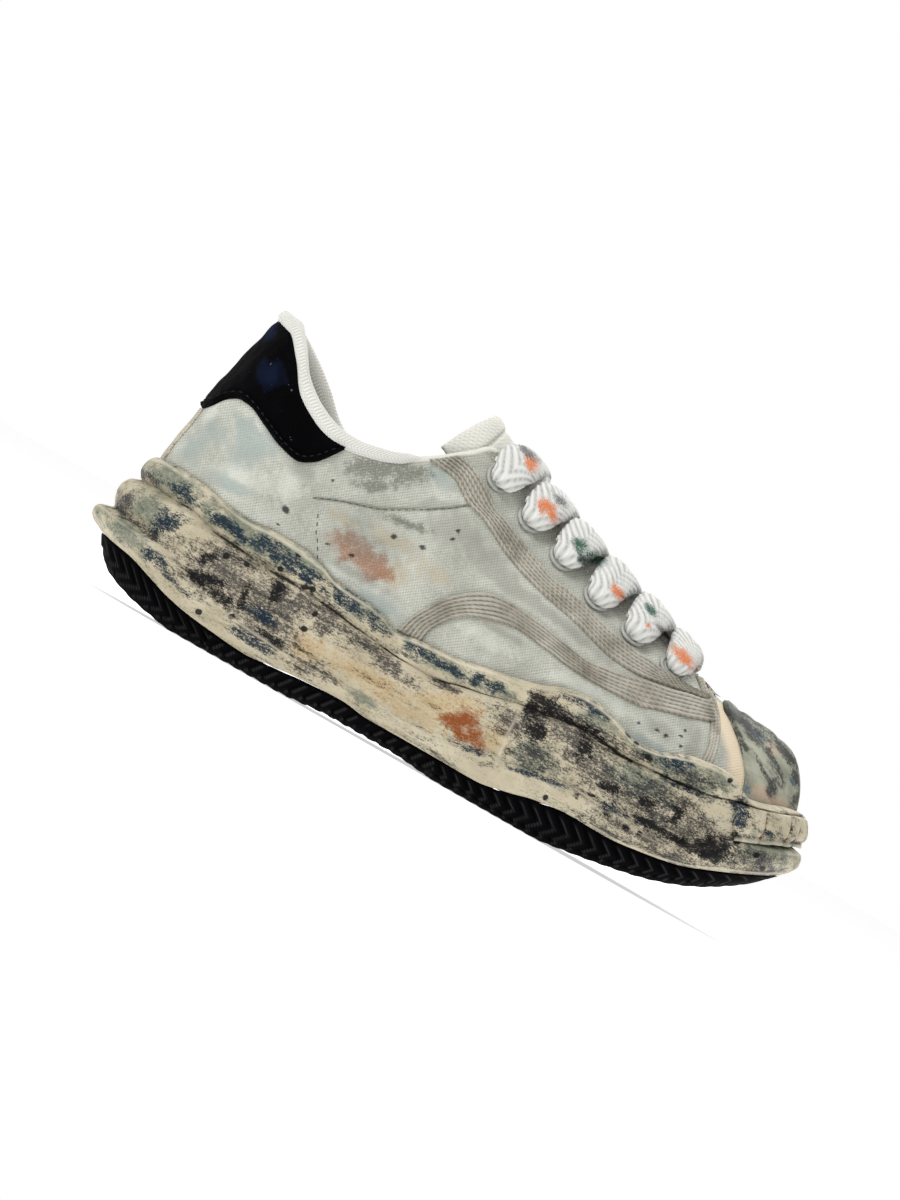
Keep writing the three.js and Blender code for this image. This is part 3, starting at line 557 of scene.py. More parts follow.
BLUE_MARKS = (
    (27, 48.6, 6.5, 3.2, -6), (44, 46.6, 4.6, 3, 0), (53, 45, 5, 2, -10), (64, 46.8, 6, 3.6, 0), (72, 46, 8, 3, -5),
    (82, 45, 12, 2.6, -6), (102.5, 43.8, 5.6, 4.2, -10), (113, 41.8, 5, 3.6, -10), (120, 40.5, 4, 1.6, 0),
    (136, 40.6, 8, 2.3, 2), (148, 40.4, 7, 1.8, 0), (158.3, 42, 2.4, 2.6, 0), (166, 42, 4, 2.6, 10),
    (198, 54, 11, 2, 8), (206, 54.4, 4, 1.5, -14), (240, 52.2, 6.5, 2.8, 26), (271.5, 46, 3, 6, 30),
    (268, 56.4, 1.4, 2, 0),
    (27, 36, 5.4, 4.8, 0), (31, 21, 8, 2.6, -8), (40, 17.4, 8, 1.4, -14), (78, 12.2, 11, 2, 0), (76, 23, 6, 2.4, 0),
    (172, 18, 7, 1.8, 14), (190, 19.6, 7, 1, 13), (201, 22, 8, 1.3, 14), (228, 24.4, 6, 1.8, 0),
    (284, 45.4, 3, 1.6, 20),
    (296, 47.4, 4, 1, 30), (269, 49.8, 5, 1, 18), (250, 44.8, 12, 0.9, 6),
)
# Mostly grey-black paint smears, but three are painted shade: at the heel (8, 34), low on the bead at the heel (12,
# 47) and low on the toe (288, 30.5).
DARK_MARKS = (
    (28, 34, 5, 4, 0), (52, 33, 12, 6, 0), (62, 28, 22, 9, 0), (78, 30, 14, 8, 0), (92, 35, 8, 3.4, 0),
    (52, 22, 14, 4, 0), (78, 19, 14, 4, 0), (97.5, 33, 4.4, 7, 0), (114, 33, 17, 3, -4), (127, 29.4, 8, 2.6, 0),
    (138, 28, 7, 1.6, 0), (150, 33.5, 8, 1.6, 12), (100, 13.4, 7, 3, 0), (109, 14.6, 7, 1.4, 0), (82, 15, 12, 1.6, 0),
    (176, 33, 6.5, 7, 0), (178, 16, 4, 1.6, 20), (187, 37, 8, 7, 0), (190, 45, 11, 5, 10), (203, 41, 8, 7, 0),
    (213, 37, 10, 7, 0), (192, 27, 10, 4, 10), (228, 48, 4.6, 3, 0), (214, 47.6, 12, 2.2, -6), (230, 31, 24, 4.6, 0),
    (246, 38, 16, 6, 0), (250, 28, 16, 3.4, 4), (268, 31, 12, 8, 10), (284, 34, 10, 4, 18), (228, 20, 10, 4, 0),
    (246, 21.4, 9, 3.2, 0), (257, 22.4, 6, 3, 8), (240, 17.2, 24, 1.4, 6), (8, 34, 4, 5, 0), (250, 50, 10, 3, 10),
    (12, 47, 5, 2, 0), (20, 29, 14, 1.4, -8), (288, 30.5, 9, 1.6, 26), (80, 43, 14, 1.4, -4),
)
INK_MARKS = (
    (185, 47, 6, 4.6, 10), (181.5, 43, 2.6, 5, 0), (188, 36, 4.6, 4.6, 0), (200, 45.6, 12, 1.8, 4),
    (207, 40, 3, 6, 14),
    (48, 22.4, 9, 2, -8), (60, 20.4, 5, 3, 0), (83, 17, 7, 1.8, 0), (66, 26, 1.8, 6, 14), (47, 32, 4, 2.4, 40),
    (76, 33, 3, 5, 16), (52, 25, 5, 2, 0), (268, 30, 8, 5, 10), (262, 26.6, 9, 2, 8), (246, 26.8, 12, 1.5, 2),
    (229, 48.4, 2.2, 1.6, 0), (218.5, 51.7, 1.8, 1, -20), (226, 22.3, 2.6, 1.5, -10), (213, 22, 1.5, 1.3, 0),
    (235, 21.5, 1.4, 1.3, 0), (218, 25.4, 4, 0.8, 4), (238, 33, 3.4, 4, -30), (222, 31, 6, 1.8, 10),
    (250, 35, 2.6, 5, -20),
    (274, 38.4, 3, 2, 0), (214, 44.6, 14, 0.9, -4), (246, 45.6, 12, 0.7, 4),
)
RUST_MARKS = ((163, 26.6, 5.2, 5, 0), (169, 22.4, 7, 3, -34), (164, 21, 4.5, 2.6, 0), (157, 23, 4, 3, 0))
OCHRE_MARKS = (
    (152, 26, 13, 7, 0), (176, 26, 6, 7, 0), (120, 22, 22, 4.5, 0), (160, 32, 8, 3, 0), (96, 20, 6, 7, 0),
    (140, 18, 16, 2.4, 0),
)
GREEN_MARKS = (
    (20, 50, 16, 6, 0), (50, 49, 14, 5, 0), (76, 48, 20, 5, 0), (110, 43, 16, 4.5, 0),
    (144, 40.5, 18, 4, 0), (18, 36, 12, 7, 0),
    (205, 50, 12, 4, 0), (248, 50, 14, 6, 0), (258, 54, 5, 3, 0), (16, 24, 16, 4, -10),
    (124, 14, 8, 2.6, 0), (286, 38, 14, 8, 20),
    (232, 38, 18, 7, 0), (192, 27, 12, 7, 10), (60, 45, 24, 4, 0), (168, 42, 8, 3.4, 10), (230, 49, 12, 2.4, 0),
)
DOTS = (
    (52.5, 35.7), (61, 36.5), (54, 12), (66, 16.7), (84.5, 40), (87.5, 41), (93, 33), (92.2, 26.2), (203, 16),
    (240.7, 21.7), (284, 36), (289, 33), (73, 41.5), (261, 56), (207.6, 47.4), (223, 50.4), (230, 48), (76, 49.6),
)
DOT_SIZE = 1.0


def sole_values(points):
    dots = tuple((x, z, DOT_SIZE, DOT_SIZE, 0) for x, z in DOTS)
    groups = {
        "blue": BLUE_MARKS, "dark": DARK_MARKS, "ink": INK_MARKS, "rust": RUST_MARKS, "ochre": OCHRE_MARKS,
        "green": GREEN_MARKS, "dots": dots,
    }
    return {key: smudges(points, marks, SOLE["seam"]) for key, marks in groups.items()}


def sole_rubber():
    made, wire, shader = finish("sole_rubber", 0.7, Specular_IOR_Level=0.16)
    sponge = wire.noise(0.8, 3, 0.7, stretch=(0.6, 1, 1.2))
    fine = wire.noise(0.4, 2, 0.7)
    cloud = wire.noise(16, 4, 0.6)
    drag = wire.noise(5, 4, 0.65, stretch=(0.2, 1, 1.7))
    grain = (sponge - 0.5) * 4 + (drag - 0.5) * 2.6 + (fine - 0.5) * 2.4 + (cloud - 0.5) * 1.4
    cream = ((cloud - 0.35) * 2.4).clamp().mix(colour(176, 166, 142), colour(206, 197, 174))
    grime = ((drag - 0.46) * 3.4 + (sponge - 0.5) * 2.6 + (fine - 0.5) * 1.6).clamp()
    base = (grime * 0.7).mix(cream, colour(100, 99, 84))

    def dabbed_and_shaded(under, name, paint, amount, grains, edge=2.4):
        cover = ((wire.value(name) - 0.36) * edge + grain * grains).clamp()
        return (cover * amount).mix(under, paint)

    base = dabbed_and_shaded(base, "green", colour(88, 100, 88), 0.78, 0.6, 1.7)
    base = dabbed_and_shaded(base, "ochre", colour(176, 146, 96), 0.6, 0.5, 1.3)
    base = dabbed_and_shaded(base, "rust", colour(130, 66, 18), 0.97, 0.45, 1.7)
    # The dark layer is grey-black paint, plus painted shade where its shade marks lie.
    base = dabbed_and_shaded(base, "dark", colour(40, 37, 42), 0.86, 0.95, 1.5)
    base = dabbed_and_shaded(base, "blue", colour(4, 34, 50), 0.94, 1.0, 1.7)
    base = dabbed_and_shaded(base, "ink", colour(7, 6, 10), 0.96, 0.75, 2.1)
    dot = ((wire.value("dots") - 0.2) * 4).clamp()
    base = (dot * 0.95).mix(base, colour(12, 10, 11))
    # Painted highlight along the brim, the lip's corner and the fold.
    ridge = ((wire.value("ridge") - 0.3) * 2 + grain * 0.5).clamp()
    base = (ridge * 0.55).mix(base, colour(212, 207, 188))
    # Painted shade in the crease, on the bead's lower edge and in the pinch.
    crease = ((wire.value("crease") - 0.22) * 2 + (drag - 0.5) * 4 + (sponge - 0.5) * 1.6).clamp()
    base = (crease * 0.92).mix(base, colour(22, 20, 21))
    relief = sponge * 0.5 + wire.noise(3.2, 3) * 0.5
    connect(
        shader,
        Base_Color=base,
        Roughness=drag * 0.35 + 0.42,
        Normal=bumped(wire, relief, 0.4),
    )
    return made


# From the tread line to the brim: what sets the reach, between which two lines, how high, and a factor.
PROFILE = (
    ("tread", "tread", "lip", 0, 1), ("lip", "tread", "lip", 0.28, 0.86), ("lip", "tread", "lip", 0.5, 1),
    ("lip", "tread", "lip", 0.8, 0.93), ("valley", "lip", "seam", 0.04, 1), ("middle", "lip", "seam", 0.3, 1),
    ("middle", "lip", "seam", 0.55, 1.06), ("middle", "lip", "seam", 0.85, 0.84), ("seam", "seam", "brim", 0, 1),
    ("foxing", "seam", "brim", 0.35, 1), ("foxing", "seam", "brim", 0.75, 0.94), ("brim", "seam", "brim", 1, 1),
)
VALLEY_ROW, SEAM_ROW, BRIM_ROW = 4, 8, 11
OVERLAY = 1.7
floor_height = line((12, 40), (60, 38.5), (110, 35.5), (150, 33), (200, 32), (240, 34), (270, 38), (289, 41))
cup_gap = line((250, GAP), (262, 2 * GAP + OVERLAY + 0.2))

top_line = [loop(around(lambda rib, side, k=k: rib_top(rib, side)[k]), quiet=True) for k in range(3)]
swell = [loop(around(lambda rib, side, k=k: rib[3][k])) for k in range(2)]
crown = [loop(around(lambda rib, side, k=k: (-1 if k == 1 and side < 0 else 1) * rib[4][k])) for k in range(3)]
drift = line((160, 0), (233, 1.6), (262, 1.6))


def face(u, t):
    """Points of the upper's outer face: u goes round the shoe, t from the foot, 0, to the topline, 1."""
    u, t = np.broadcast_arrays(np.asarray(u, float), np.asarray(t, float))
    out = plan_normal(u)
    foot = np.stack([plan_x(u), plan_y(u), floor_height(plan_x(u)) + GAP], -1)
    top = np.stack([f(u) for f in top_line], -1)
    top[..., 1] += drift(top[..., 0])
    low = foot + np.stack([out[..., 0] * swell[0](u), out[..., 1] * swell[0](u), swell[1](u)], -1)
    sign = np.where((u % TURNS) > TOE, -1, 1)
    lean = np.stack([crown[0](u), np.abs(crown[1](u)) * -sign, crown[2](u)], -1)
    high = top + lean
    t = t[..., None]
    return foot * (1 - t) ** 3 + 3 * low * (1 - t) ** 2 * t + 3 * high * (1 - t) * t**2 + top * t**3


def on_ridge(u):
    return np.abs((u % TURNS) - TOE) <= TOE - THROAT_RIB + 0.001


def skin(u, t, out):
    """The face moved out along its own normal. On the ridge both sides share one upright normal."""
    u, t = np.broadcast_arrays(np.asarray(u, float), np.asarray(t, float))
    step = 0.01
    along = face(u + step, t) - face(u - step, t)
    up = face(u, np.minimum(1, t + step)) - face(u, np.maximum(0, t - step))
    normal = np.cross(along, up)
    ridge = np.stack([-along[..., 2], np.zeros_like(u), along[..., 0]], -1)
    ridge = np.where(ridge[..., 2:] < 0, -ridge, ridge)
    ridge = np.where((np.abs((u % TURNS) - TOE) < 0.05)[..., None], [0.0, 0.0, 1.0], ridge)
    normal = np.where(((t > 0.999) & on_ridge(u))[..., None], ridge, normal)
    normal /= np.maximum(np.linalg.norm(normal, axis=-1, keepdims=True), 1e-9)
    return face(u, t) + normal * np.asarray(out, float)[..., None]


def rung_at(u, z):
    """The t at which each rib reaches a height."""
    low, high = np.zeros_like(u), np.ones_like(u)
    for _ in range(24):
        middle = (low + high) / 2
        below = face(u, middle)[..., 2] < z
        low, high = np.where(below, middle, low), np.where(below, high, middle)
    return low


def midsole():
    around_count = 700
    rows = 74
    u = np.arange(around_count) * TURNS / around_count
    control = [
        wall(u, REACH[name](plan_x(u)) * factor, low, high, share) for name, low, high, share, factor in PROFILE
    ]
    shell, place = spread(control, rows)
    across = plan_normal(u)
    length = np.cumsum(np.r_[0, np.linalg.norm(np.diff(np.stack([plan_x(u), plan_y(u)], -1), axis=0), axis=-1)])
    v = place[:, None]
    a = length[None, :]
    # Soft uneven swelling, a pressed crease under the bead, and pinches where the lip was rolled.
    out = 0.45 * lumps(a, v * 6, 34, 5) + 0.2 * lumps(a, v * 6, 11, 6) + 0.06 * lumps(a, v * 6, 4.5, 7)
    wander = 0.12 * lumps(a, a * 0, 23, 8)
    crease = np.exp(-(((v - SEAM_ROW - wander) / 0.13) ** 2))
    out = out - 1.1 * crease
    pinch = np.exp(-(((v - VALLEY_ROW + 0.05) / 0.3) ** 2)) * np.clip(0.4 + 0.7 * lumps(a, a * 0, 60, 9), 0, 1)
    out = out - 0.7 * pinch
    x_here = shell[..., 0]
    outer = shell[..., 1] < 0
    # The paint's hard edge half way along follows an upright fold, with a painted highlight on its heel side.
    upright = np.exp(-(((v - 5) / 2.6) ** 2))
    fold = np.exp(-(((x_here - 181 - (v - 5) * -0.6) / 1.4) ** 2)) * upright * outer
    out = out - 0.6 * fold
    ease = np.clip(np.minimum(v / 0.8, (BRIM_ROW - v) / 0.5), 0, 1)
    shell[..., :2] += across[None] * (out * ease)[..., None]
    shell[..., 2] += 0.25 * lumps(a, v * 5, 18, 10) * ease
    top = shell[-1, :, 2]
    gap = cup_gap(plan_x(u))
    inside = []
    for depth in (0.99, 0.85, 0.6, 0.3, 0.0):
        base = floor_height(plan_x(u)) + GAP
        inside.append(skin(u, rung_at(u, base + (top - base) * depth), gap))
    under = inside[-1].copy()
    under[:, 2] = floor_height(plan_x(u))
    crown_rows = spread([shell[-2], shell[-1], inside[0]], 7)[0][4:-1]
    rim = 0.55 * np.array([1.0, 0.75])[: len(crown_rows), None]
    crown_rows[..., 2] += rim[: len(crown_rows)]
    stack = np.concatenate([shell, crown_rows, np.stack(inside), under[None]])
    points = stack.reshape(-1, 3)
    faces = list(grid_faces(len(stack), around_count, closed=True))
    last = (len(stack) - 1) * around_count
    half = around_count // 2
    for first, turned in ((0, False), (last, True)):
        for i in range(half):
            over_there = [first + (around_count - i - 1), first + (around_count - i) % around_count]
            ring = [first + i, first + i + 1, *over_there]
            faces.append(ring if turned else ring[::-1])
    faces = [list(dict.fromkeys(one)) for one in np.asarray(faces).tolist()]
    values = sole_values(points)
    extra = len(stack) - rows
    pad = lambda field: np.concatenate([field, np.zeros((extra, around_count))]).reshape(-1)
    # Painted highlights along the brim, along the lip's upper corner, in a thin line above the tread and beside the
    # fold.
    ridge = 0.95 * np.exp(-(((v - BRIM_ROW + 0.35) / 0.32) ** 2)) + 0.6 * np.exp(-(((v - 2.9) / 0.22) ** 2))
    ridge = ridge * (0.8 + 0.4 * lumps(a, a * 0, 40, 12)) + 0.9 * np.exp(-(((v - 0.25) / 0.14) ** 2)) * (x_here > 222)
    ridge = ridge + 0.8 * np.exp(-(((x_here - 179.5 - (v - 5) * -0.6) / 0.9) ** 2)) * upright * outer
    # Painted shade: a dark line in the crease under the bead, a softer band on the bead's lower edge above it, and
    # darkening in the pinched valley above the lip.
    strong = np.clip((x_here - 30) / 25, 0.35, 1) * (0.75 + 0.35 * lumps(a, a * 0, 17, 11))
    line_dark = np.exp(-(((v - SEAM_ROW - wander) / 0.1) ** 2)) * strong
    under_bead = 0.3 * np.exp(-(((v - SEAM_ROW - 0.25) / 0.5) ** 2)) * strong
    values["crease"] = pad(line_dark + under_bead + pinch * 0.42)
    values["ridge"] = pad(ridge)
    return make("midsole_cup", points, faces, values, slots=[sole_rubber()], outward=True)


cup = midsole()
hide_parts("midsole")
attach(cup, "root")


# ------------------------------------------------------------------ upper
# One hollow canvas shell pulled over the last: light grey cotton outside, cream knit lining inside.
# The collar panel is padded behind a stitched seam, and the cloth is faded, stained and softly creased.
# Soft grey patches under the lace loops and along the trims, and a line along the collar seam, are painted shade.

WALL = 2.2


def near_line(x, z, points):
    """Distance to a side-view line, and how far along it, 0 to 1. The distance is below 0 under the line."""
    points = np.asarray(points, float)
    best = np.full(x.shape, 1e9)
    signed = np.zeros(x.shape)
    run = np.zeros(x.shape)
    count = len(points) - 1
    for k, (a, b) in enumerate(zip(points[:-1], points[1:])):
        edge = b - a
        s = np.clip(((x - a[0]) * edge[0] + (z - a[1]) * edge[1]) / (edge @ edge), 0, 1)
        dx, dz = x - a[0] - s * edge[0], z - a[1] - s * edge[1]
        gap = np.hypot(dx, dz)
        side = np.sign(edge[0] * dz - edge[1] * dx)
        closer = gap < best
        best = np.where(closer, gap, best)
        signed = np.where(closer, gap * side, signed)
        run = np.where(closer, (k + s) / count, run)
    return signed, run


COLLAR_SEAM = ((71, 71.3), (77, 74), (84, 76.5), (95, 80.2), (105, 85.7), (115, 91.7), (124, 98.5))
# Troughs in the canvas: side-view points, depth and half width in millimetres.
CREASES = (
    (((216, 66), (224, 61), (230, 56)), 0.7, 2.4),
    (((206, 58), (214, 62), (226, 67.5)), 0.5, 2.6),
    (((100, 84), (110, 79), (121, 77)), 0.5, 4.0),
    (((128, 84), (136, 88), (147, 86)), 0.45, 3.0),
    (((88, 94), (94, 88), (97, 83)), 0.5, 3.0),
    (((74, 88), (80, 84), (90, 82)), 0.5, 3.5),
    (((104, 101), (110, 96), (118, 96)), 0.5, 3.0),
    (((40, 70), (50, 66), (62, 67)), 0.55, 5.0),
    (((22, 62), (34, 59), (47, 60)), 0.4, 4.0),
    (((152, 55), (166, 58), (184, 57)), 0.5, 4.0),
    (((108, 60), (115, 56), (121, 50)), 0.6, 3.5),
    (((232, 72), (238, 66), (243, 60)), 0.4, 2.4),
)


def canvas_relief(points, side):
    """How far the finished canvas stands off its plain form."""
    x, z = points[..., 0], points[..., 2]
    gap, run = near_line(x, z, COLLAR_SEAM)
    ends = np.clip(np.minimum(run, 1 - run) * 12, 0, 1)
    puffy = 1.0 * np.clip(gap / 5, 0, 1) * np.clip((118 - x) / 14, 0, 1) * np.clip((x - 66) / 10, 0, 1)
    out = puffy * np.clip((14 - gap) / 8, 0, 1) - 0.7 * np.exp(-((gap / 0.9) ** 2)) * ends
    for trough, depth, half in CREASES:
        away, place = near_line(x, z, trough)
        soft = np.clip(np.minimum(place, 1 - place) * 5 + 0.25, 0, 1)
        away = np.abs(away)
        out = out - depth * soft * np.exp(-((away / half) ** 2))
        out = out + 0.4 * depth * soft * np.exp(-(((away - 2 * half) / half) ** 2))
    out = out + 0.28 * lumps(x + 40 * side, z, 30, 21) + 0.1 * lumps(x + 40 * side, z, 12, 22)
    return out


def canvas():
    made, wire, shader = finish("faded_canvas", 0.92, Specular_IOR_Level=0.15)
    x, _, z = wire.axes()
    slub = wire.noise(7, 3)
    warp = ((x * -0.6 + z * 0.8) * (2 * math.pi / (1.05 * MM)) + slub * 4).sine()
    weft = ((x * 0.94 + z * 0.34) * (2 * math.pi / (0.95 * MM)) + slub * 3).sine()
    speck = wire.noise(0.9, 3, 0.75)
    weave = (warp * 0.2 + weft * 0.16 + 0.5) * 0.5 + speck * 0.5
    cloud = wire.noise(24, 4, 0.6)
    base = ((cloud - 0.32) * 2.6).clamp().mix(colour(168, 169, 159), colour(212, 213, 203))
    base = (((1 - weave) - 0.34) * 1.5).clamp().mix(base, colour(116, 115, 102))
    base = (((speck - 0.56) * 5).clamp() * 0.35).mix(base, colour(224, 226, 220))

    def stain_and_shade(under, name, tone, amount, grain):
        cover = ((wire.value(name) - 0.42) * 1.7 + (speck - 0.5) * grain * 3 + (cloud - 0.5) * 1.4).clamp()
        return (cover * amount).mix(under, tone)

    base = stain_and_shade(base, "pale", colour(206, 208, 198), 0.5, 0.4)
    base = stain_and_shade(base, "mist", colour(138, 153, 150), 0.6, 0.6)
    base = stain_and_shade(base, "olive", colour(70, 74, 62), 0.66, 1.3)
    base = stain_and_shade(base, "ochre", colour(166, 144, 104), 0.36, 0.7)
    base = stain_and_shade(base, "rusty", colour(144, 94, 64), 0.8, 0.9)
    # Painted shade, laid like the stains.
    base = stain_and_shade(base, "shade", colour(112, 111, 104), 0.42, 0.9)
    base = (wire.value("cream") * 0.9).clamp().mix(base, colour(218, 201, 174))
    base = (((wire.value("specks") - 0.24) * 2.4 + (speck - 0.5) * 1.4).clamp() * 0.9).mix(base, colour(38, 39, 37))
    # Painted shade along the collar seam.
    base = (wire.value("seam") * 0.75).clamp().mix(base, colour(74, 76, 66))
    connect(shader, Base_Color=base, Normal=bumped(wire, weave, 0.4))
    return made


def lining():
    made, wire, shader = finish("knit_lining", 0.95, Specular_IOR_Level=0.1)
    x, _, z = wire.axes()
    rows = ((z + x * 0.2) * (2 * math.pi / (2.1 * MM))).sine() * 0.5 + 0.5
    cloud = wire.noise(18, 3)
    base = ((cloud - 0.3) * 2).clamp().mix(colour(196, 191, 178), colour(222, 219, 208))
    base = (rows * 0.25).mix(base, colour(172, 166, 150))
    connect(shader, Base_Color=base, Normal=bumped(wire, rows * 0.7 + wire.noise(1, 2) * 0.3, 0.4))
    return made


OLIVE_MARKS = (
    (84, 91.5, 12, 5.5, 22), (98, 97, 9, 4.4, 24), (88, 86, 8, 2.4, 24), (92, 99, 5, 2.4, 22), (105, 80, 12, 2, 8),
)
OCHRE_STAINS = ((126, 69, 8, 4, 0), (112, 61, 8, 6, 0), (104, 72, 14, 4, 0), (84, 70, 8, 3, 0), (150, 64, 8, 2, 0))
MIST_MARKS = (
    (109, 101.5, 7, 3.2, -8), (40, 76, 11, 8, 40), (21, 64, 5, 7, 0), (34, 82, 8, 3, -20), (24, 74, 5, 6, 0),
    (112, 48, 12, 4, 0), (226, 53, 10, 2, 0), (90, 72, 8, 2.4, 0), (40, 60, 12, 3, 0),
)
PALE_MARKS = (
    (42, 64, 14, 5, 10), (60, 70, 8, 7, 30), (20, 80, 3, 5, 0), (200, 59, 22, 3, 0), (155, 57, 14, 4, 0),
    (150, 92, 6, 2, -30), (90, 51, 8, 2, 0), (192, 88, 10, 2, -16), (136, 108, 5, 2, -20), (232, 79, 4, 2.4, -30),
)
RUSTY_MARKS = ((89, 62.4, 7, 6, -4), (98, 61, 8, 6.4, -8), (106, 59.6, 6, 4.6, -10))
# Painted shade: soft grey patches under the lace loops, along the trims' edges and across the quarter.
SHADE_MARKS = (
    (140, 84, 20, 5, -20), (120, 86, 10, 7, 20), (112, 92, 8, 2.4, 30), (180, 75.6, 26, 2.2, -10),
    (150, 79, 18, 2.4, -6),
    (160, 62, 12, 1.8, 0), (131, 116.5, 7, 3, -20), (150, 108, 8, 2.4, -26), (168, 101, 8, 2.4, -24),
    (188, 94, 8, 2, -20),
    (207, 88.6, 8, 2, -16), (122, 119, 4, 2.4, 0), (62, 78, 6, 4, -10), (243, 60, 3, 8, 8), (229, 59.6, 7, 3.4, 0),
    (96, 66, 14, 6, 0), (100, 54, 16, 2.4, 0), (186, 54, 10, 2, 14), (137, 63, 4, 6, -40), (220, 68, 12, 2, 14),
    (112, 108, 4, 2, -10),
)
SPECK_MARKS = (
    (63.5, 61.8, 1.9, 1.3, -35), (63.8, 55.7, 0.8, 0.5, 0), (84, 58.5, 0.8, 0.7, 0), (94, 59.3, 1.1, 0.8, 0),
    (104.5, 73.5, 1.2, 0.9, 0), (116, 75.3, 1.5, 1.0, 0), (124.5, 87.2, 1.1, 0.8, 0), (124.3, 83.6, 1, 0.7, 0),
    (74, 80.5, 0.8, 0.5, 0), (228, 59, 1.2, 0.7, 0), (231.5, 58.8, 0.9, 0.7, 0), (237, 64, 0.8, 0.6, 0),
    (236.6, 61.4, 0.8, 0.6, 0), (238.4, 58, 0.8, 0.7, 0), (220, 58, 0.7, 0.5, 0), (250.5, 61, 0.9, 0.8, 0),
)
# The toe cap's rear edge, x against height. A cream stripe of bare ground cloth shows behind it.
CAP_BACK = line((46, 268), (56, 267), (62.5, 264), (69, 258), (75.5, 250), (80, 245.5), (86, 243))
STRIPE = {"wide": 9, "fade": 4}


def cloth(u, t, out=0.0):
    """The finished canvas: the last's form with the canvas's own creases, moved out by out."""
    u, t = np.broadcast_arrays(np.asarray(u, float), np.asarray(t, float))
    plain = skin(u, t, 0.0 * u)
    side = np.where(u % TURNS > TOE, 1, -1)
    ease = np.clip((1 - t) / 0.06, 0, 1) * np.clip(t / 0.1, 0, 1) * np.where(plain[..., 0] > 262, 0.3, 1)
    return skin(u, t, canvas_relief(plain, side) * ease + out)


def marked(points, groups, alike=False):
    return {key: smudges(points, marks, alike=alike) for key, marks in groups.items()}


CANVAS_MARKS = {
    "olive": OLIVE_MARKS, "ochre": OCHRE_STAINS, "mist": MIST_MARKS, "pale": PALE_MARKS, "rusty": RUSTY_MARKS,
    "shade": SHADE_MARKS, "specks": SPECK_MARKS,
}


def upper_shell():
    columns = 560
    outer_rows = 84
    inner_rows = 30
    u = np.arange(columns) * TURNS / columns
    outside = cloth(u[None], np.linspace(0, 1, outer_rows)[:, None])
    inside = skin(u[None], np.linspace(0, 1, inner_rows)[:, None], np.full((inner_rows, columns), -WALL))
    stack = np.concatenate([outside, inside[::-1]])
    faces = grid_faces(len(stack), columns, closed=True)
    # Where both sides meet on the ridge there is no rim to fill.
    row = np.arange(columns)
    ridge = on_ridge(u) & on_ridge(np.roll(u, -1))
    keep = np.ones(len(faces), bool)
    keep[(outer_rows - 1) * columns + row[ridge]] = False
    last = (len(stack) - 1) * columns
    hem = np.stack([last + row, last + (row + 1) % columns, (row + 1) % columns, row], -1)
    faces = np.concatenate([faces[keep], hem])
    rows_of = faces[:, 0] // columns
    lined = ((rows_of >= outer_rows - 1) & (rows_of < len(stack))).astype(int)
    points = stack.reshape(-1, 3)
    values = marked(points, CANVAS_MARKS)
    behind = CAP_BACK(points[:, 2]) - points[:, 0]
    values["cream"] = np.clip((STRIPE["wide"] - behind) / STRIPE["fade"], 0, 1) * (points[:, 2] < 80)
    # A painted shade line along the collar seam's groove.
    gap, run = near_line(points[:, 0], points[:, 2], COLLAR_SEAM)
    values["seam"] = np.exp(-((gap / 0.55) ** 2)) * (np.minimum(run, 1 - run) > 0.004)
    return make("upper_canvas", points, faces, values, weld=0.01, slots=[canvas(), lining()], slot_of=lined)


def on_face(x, z, side):
    """The rib and rung at which the upper's face shows at side-view places."""
    x, z = np.broadcast_arrays(np.asarray(x, float), np.asarray(z, float))
    shape = x.shape
    x, z = x.ravel(), z.ravel()
    u_grid, t_grid = np.meshgrid(np.linspace(0.5, TOE - 0.3, 48), np.linspace(0.05, 0.97, 24), indexing="ij")
    u_grid = u_grid if side < 0 else TURNS - u_grid
    spots = face(u_grid, t_grid)[..., ::2].reshape(-1, 2)
    nearest = np.array([np.argmin((spots[:, 0] - a) ** 2 + (spots[:, 1] - b) ** 2) for a, b in zip(x, z)])
    u, t = u_grid.ravel()[nearest], t_grid.ravel()[nearest]
    step = 0.01
    for _ in range(9):
        here = face(u, t)
        du = (face(u + step, t) - here) / step
        dt = (face(u, t + step) - here) / step
        det = du[:, 0] * dt[:, 2] - dt[:, 0] * du[:, 2]
        det = np.where(np.abs(det) < 1e-3, 1e-3, det)
        ex, ez = x - here[:, 0], z - here[:, 2]
        u = u + np.clip((ex * dt[:, 2] - dt[:, 0] * ez) / det, -0.5, 0.5)
        t = np.clip(t + np.clip((du[:, 0] * ez - ex * du[:, 2]) / det, -0.1, 0.1), 0.0, 0.99)
    return u.reshape(shape), t.reshape(shape)


# Side-view places of the eyelets, from the top one down.
EYELETS = ((128.5, 112.6), (146.5, 105), (164.2, 98), (183, 91), (202, 86), (221.5, 81.4))
EYELET_HOLE = 3.9


def eyelet_seat(x, z, side):
    """A point of the canvas, and the direction straight out of it."""
    u, t = on_face(x, z, side)
    origin = cloth(u, t)
    away = cloth(u, t, 1.0) - origin
    return origin, away / np.linalg.norm(away)


seats = {side: [eyelet_seat(x, z, side) for x, z in EYELETS] for side in (-1, 1)}

upper = upper_shell()


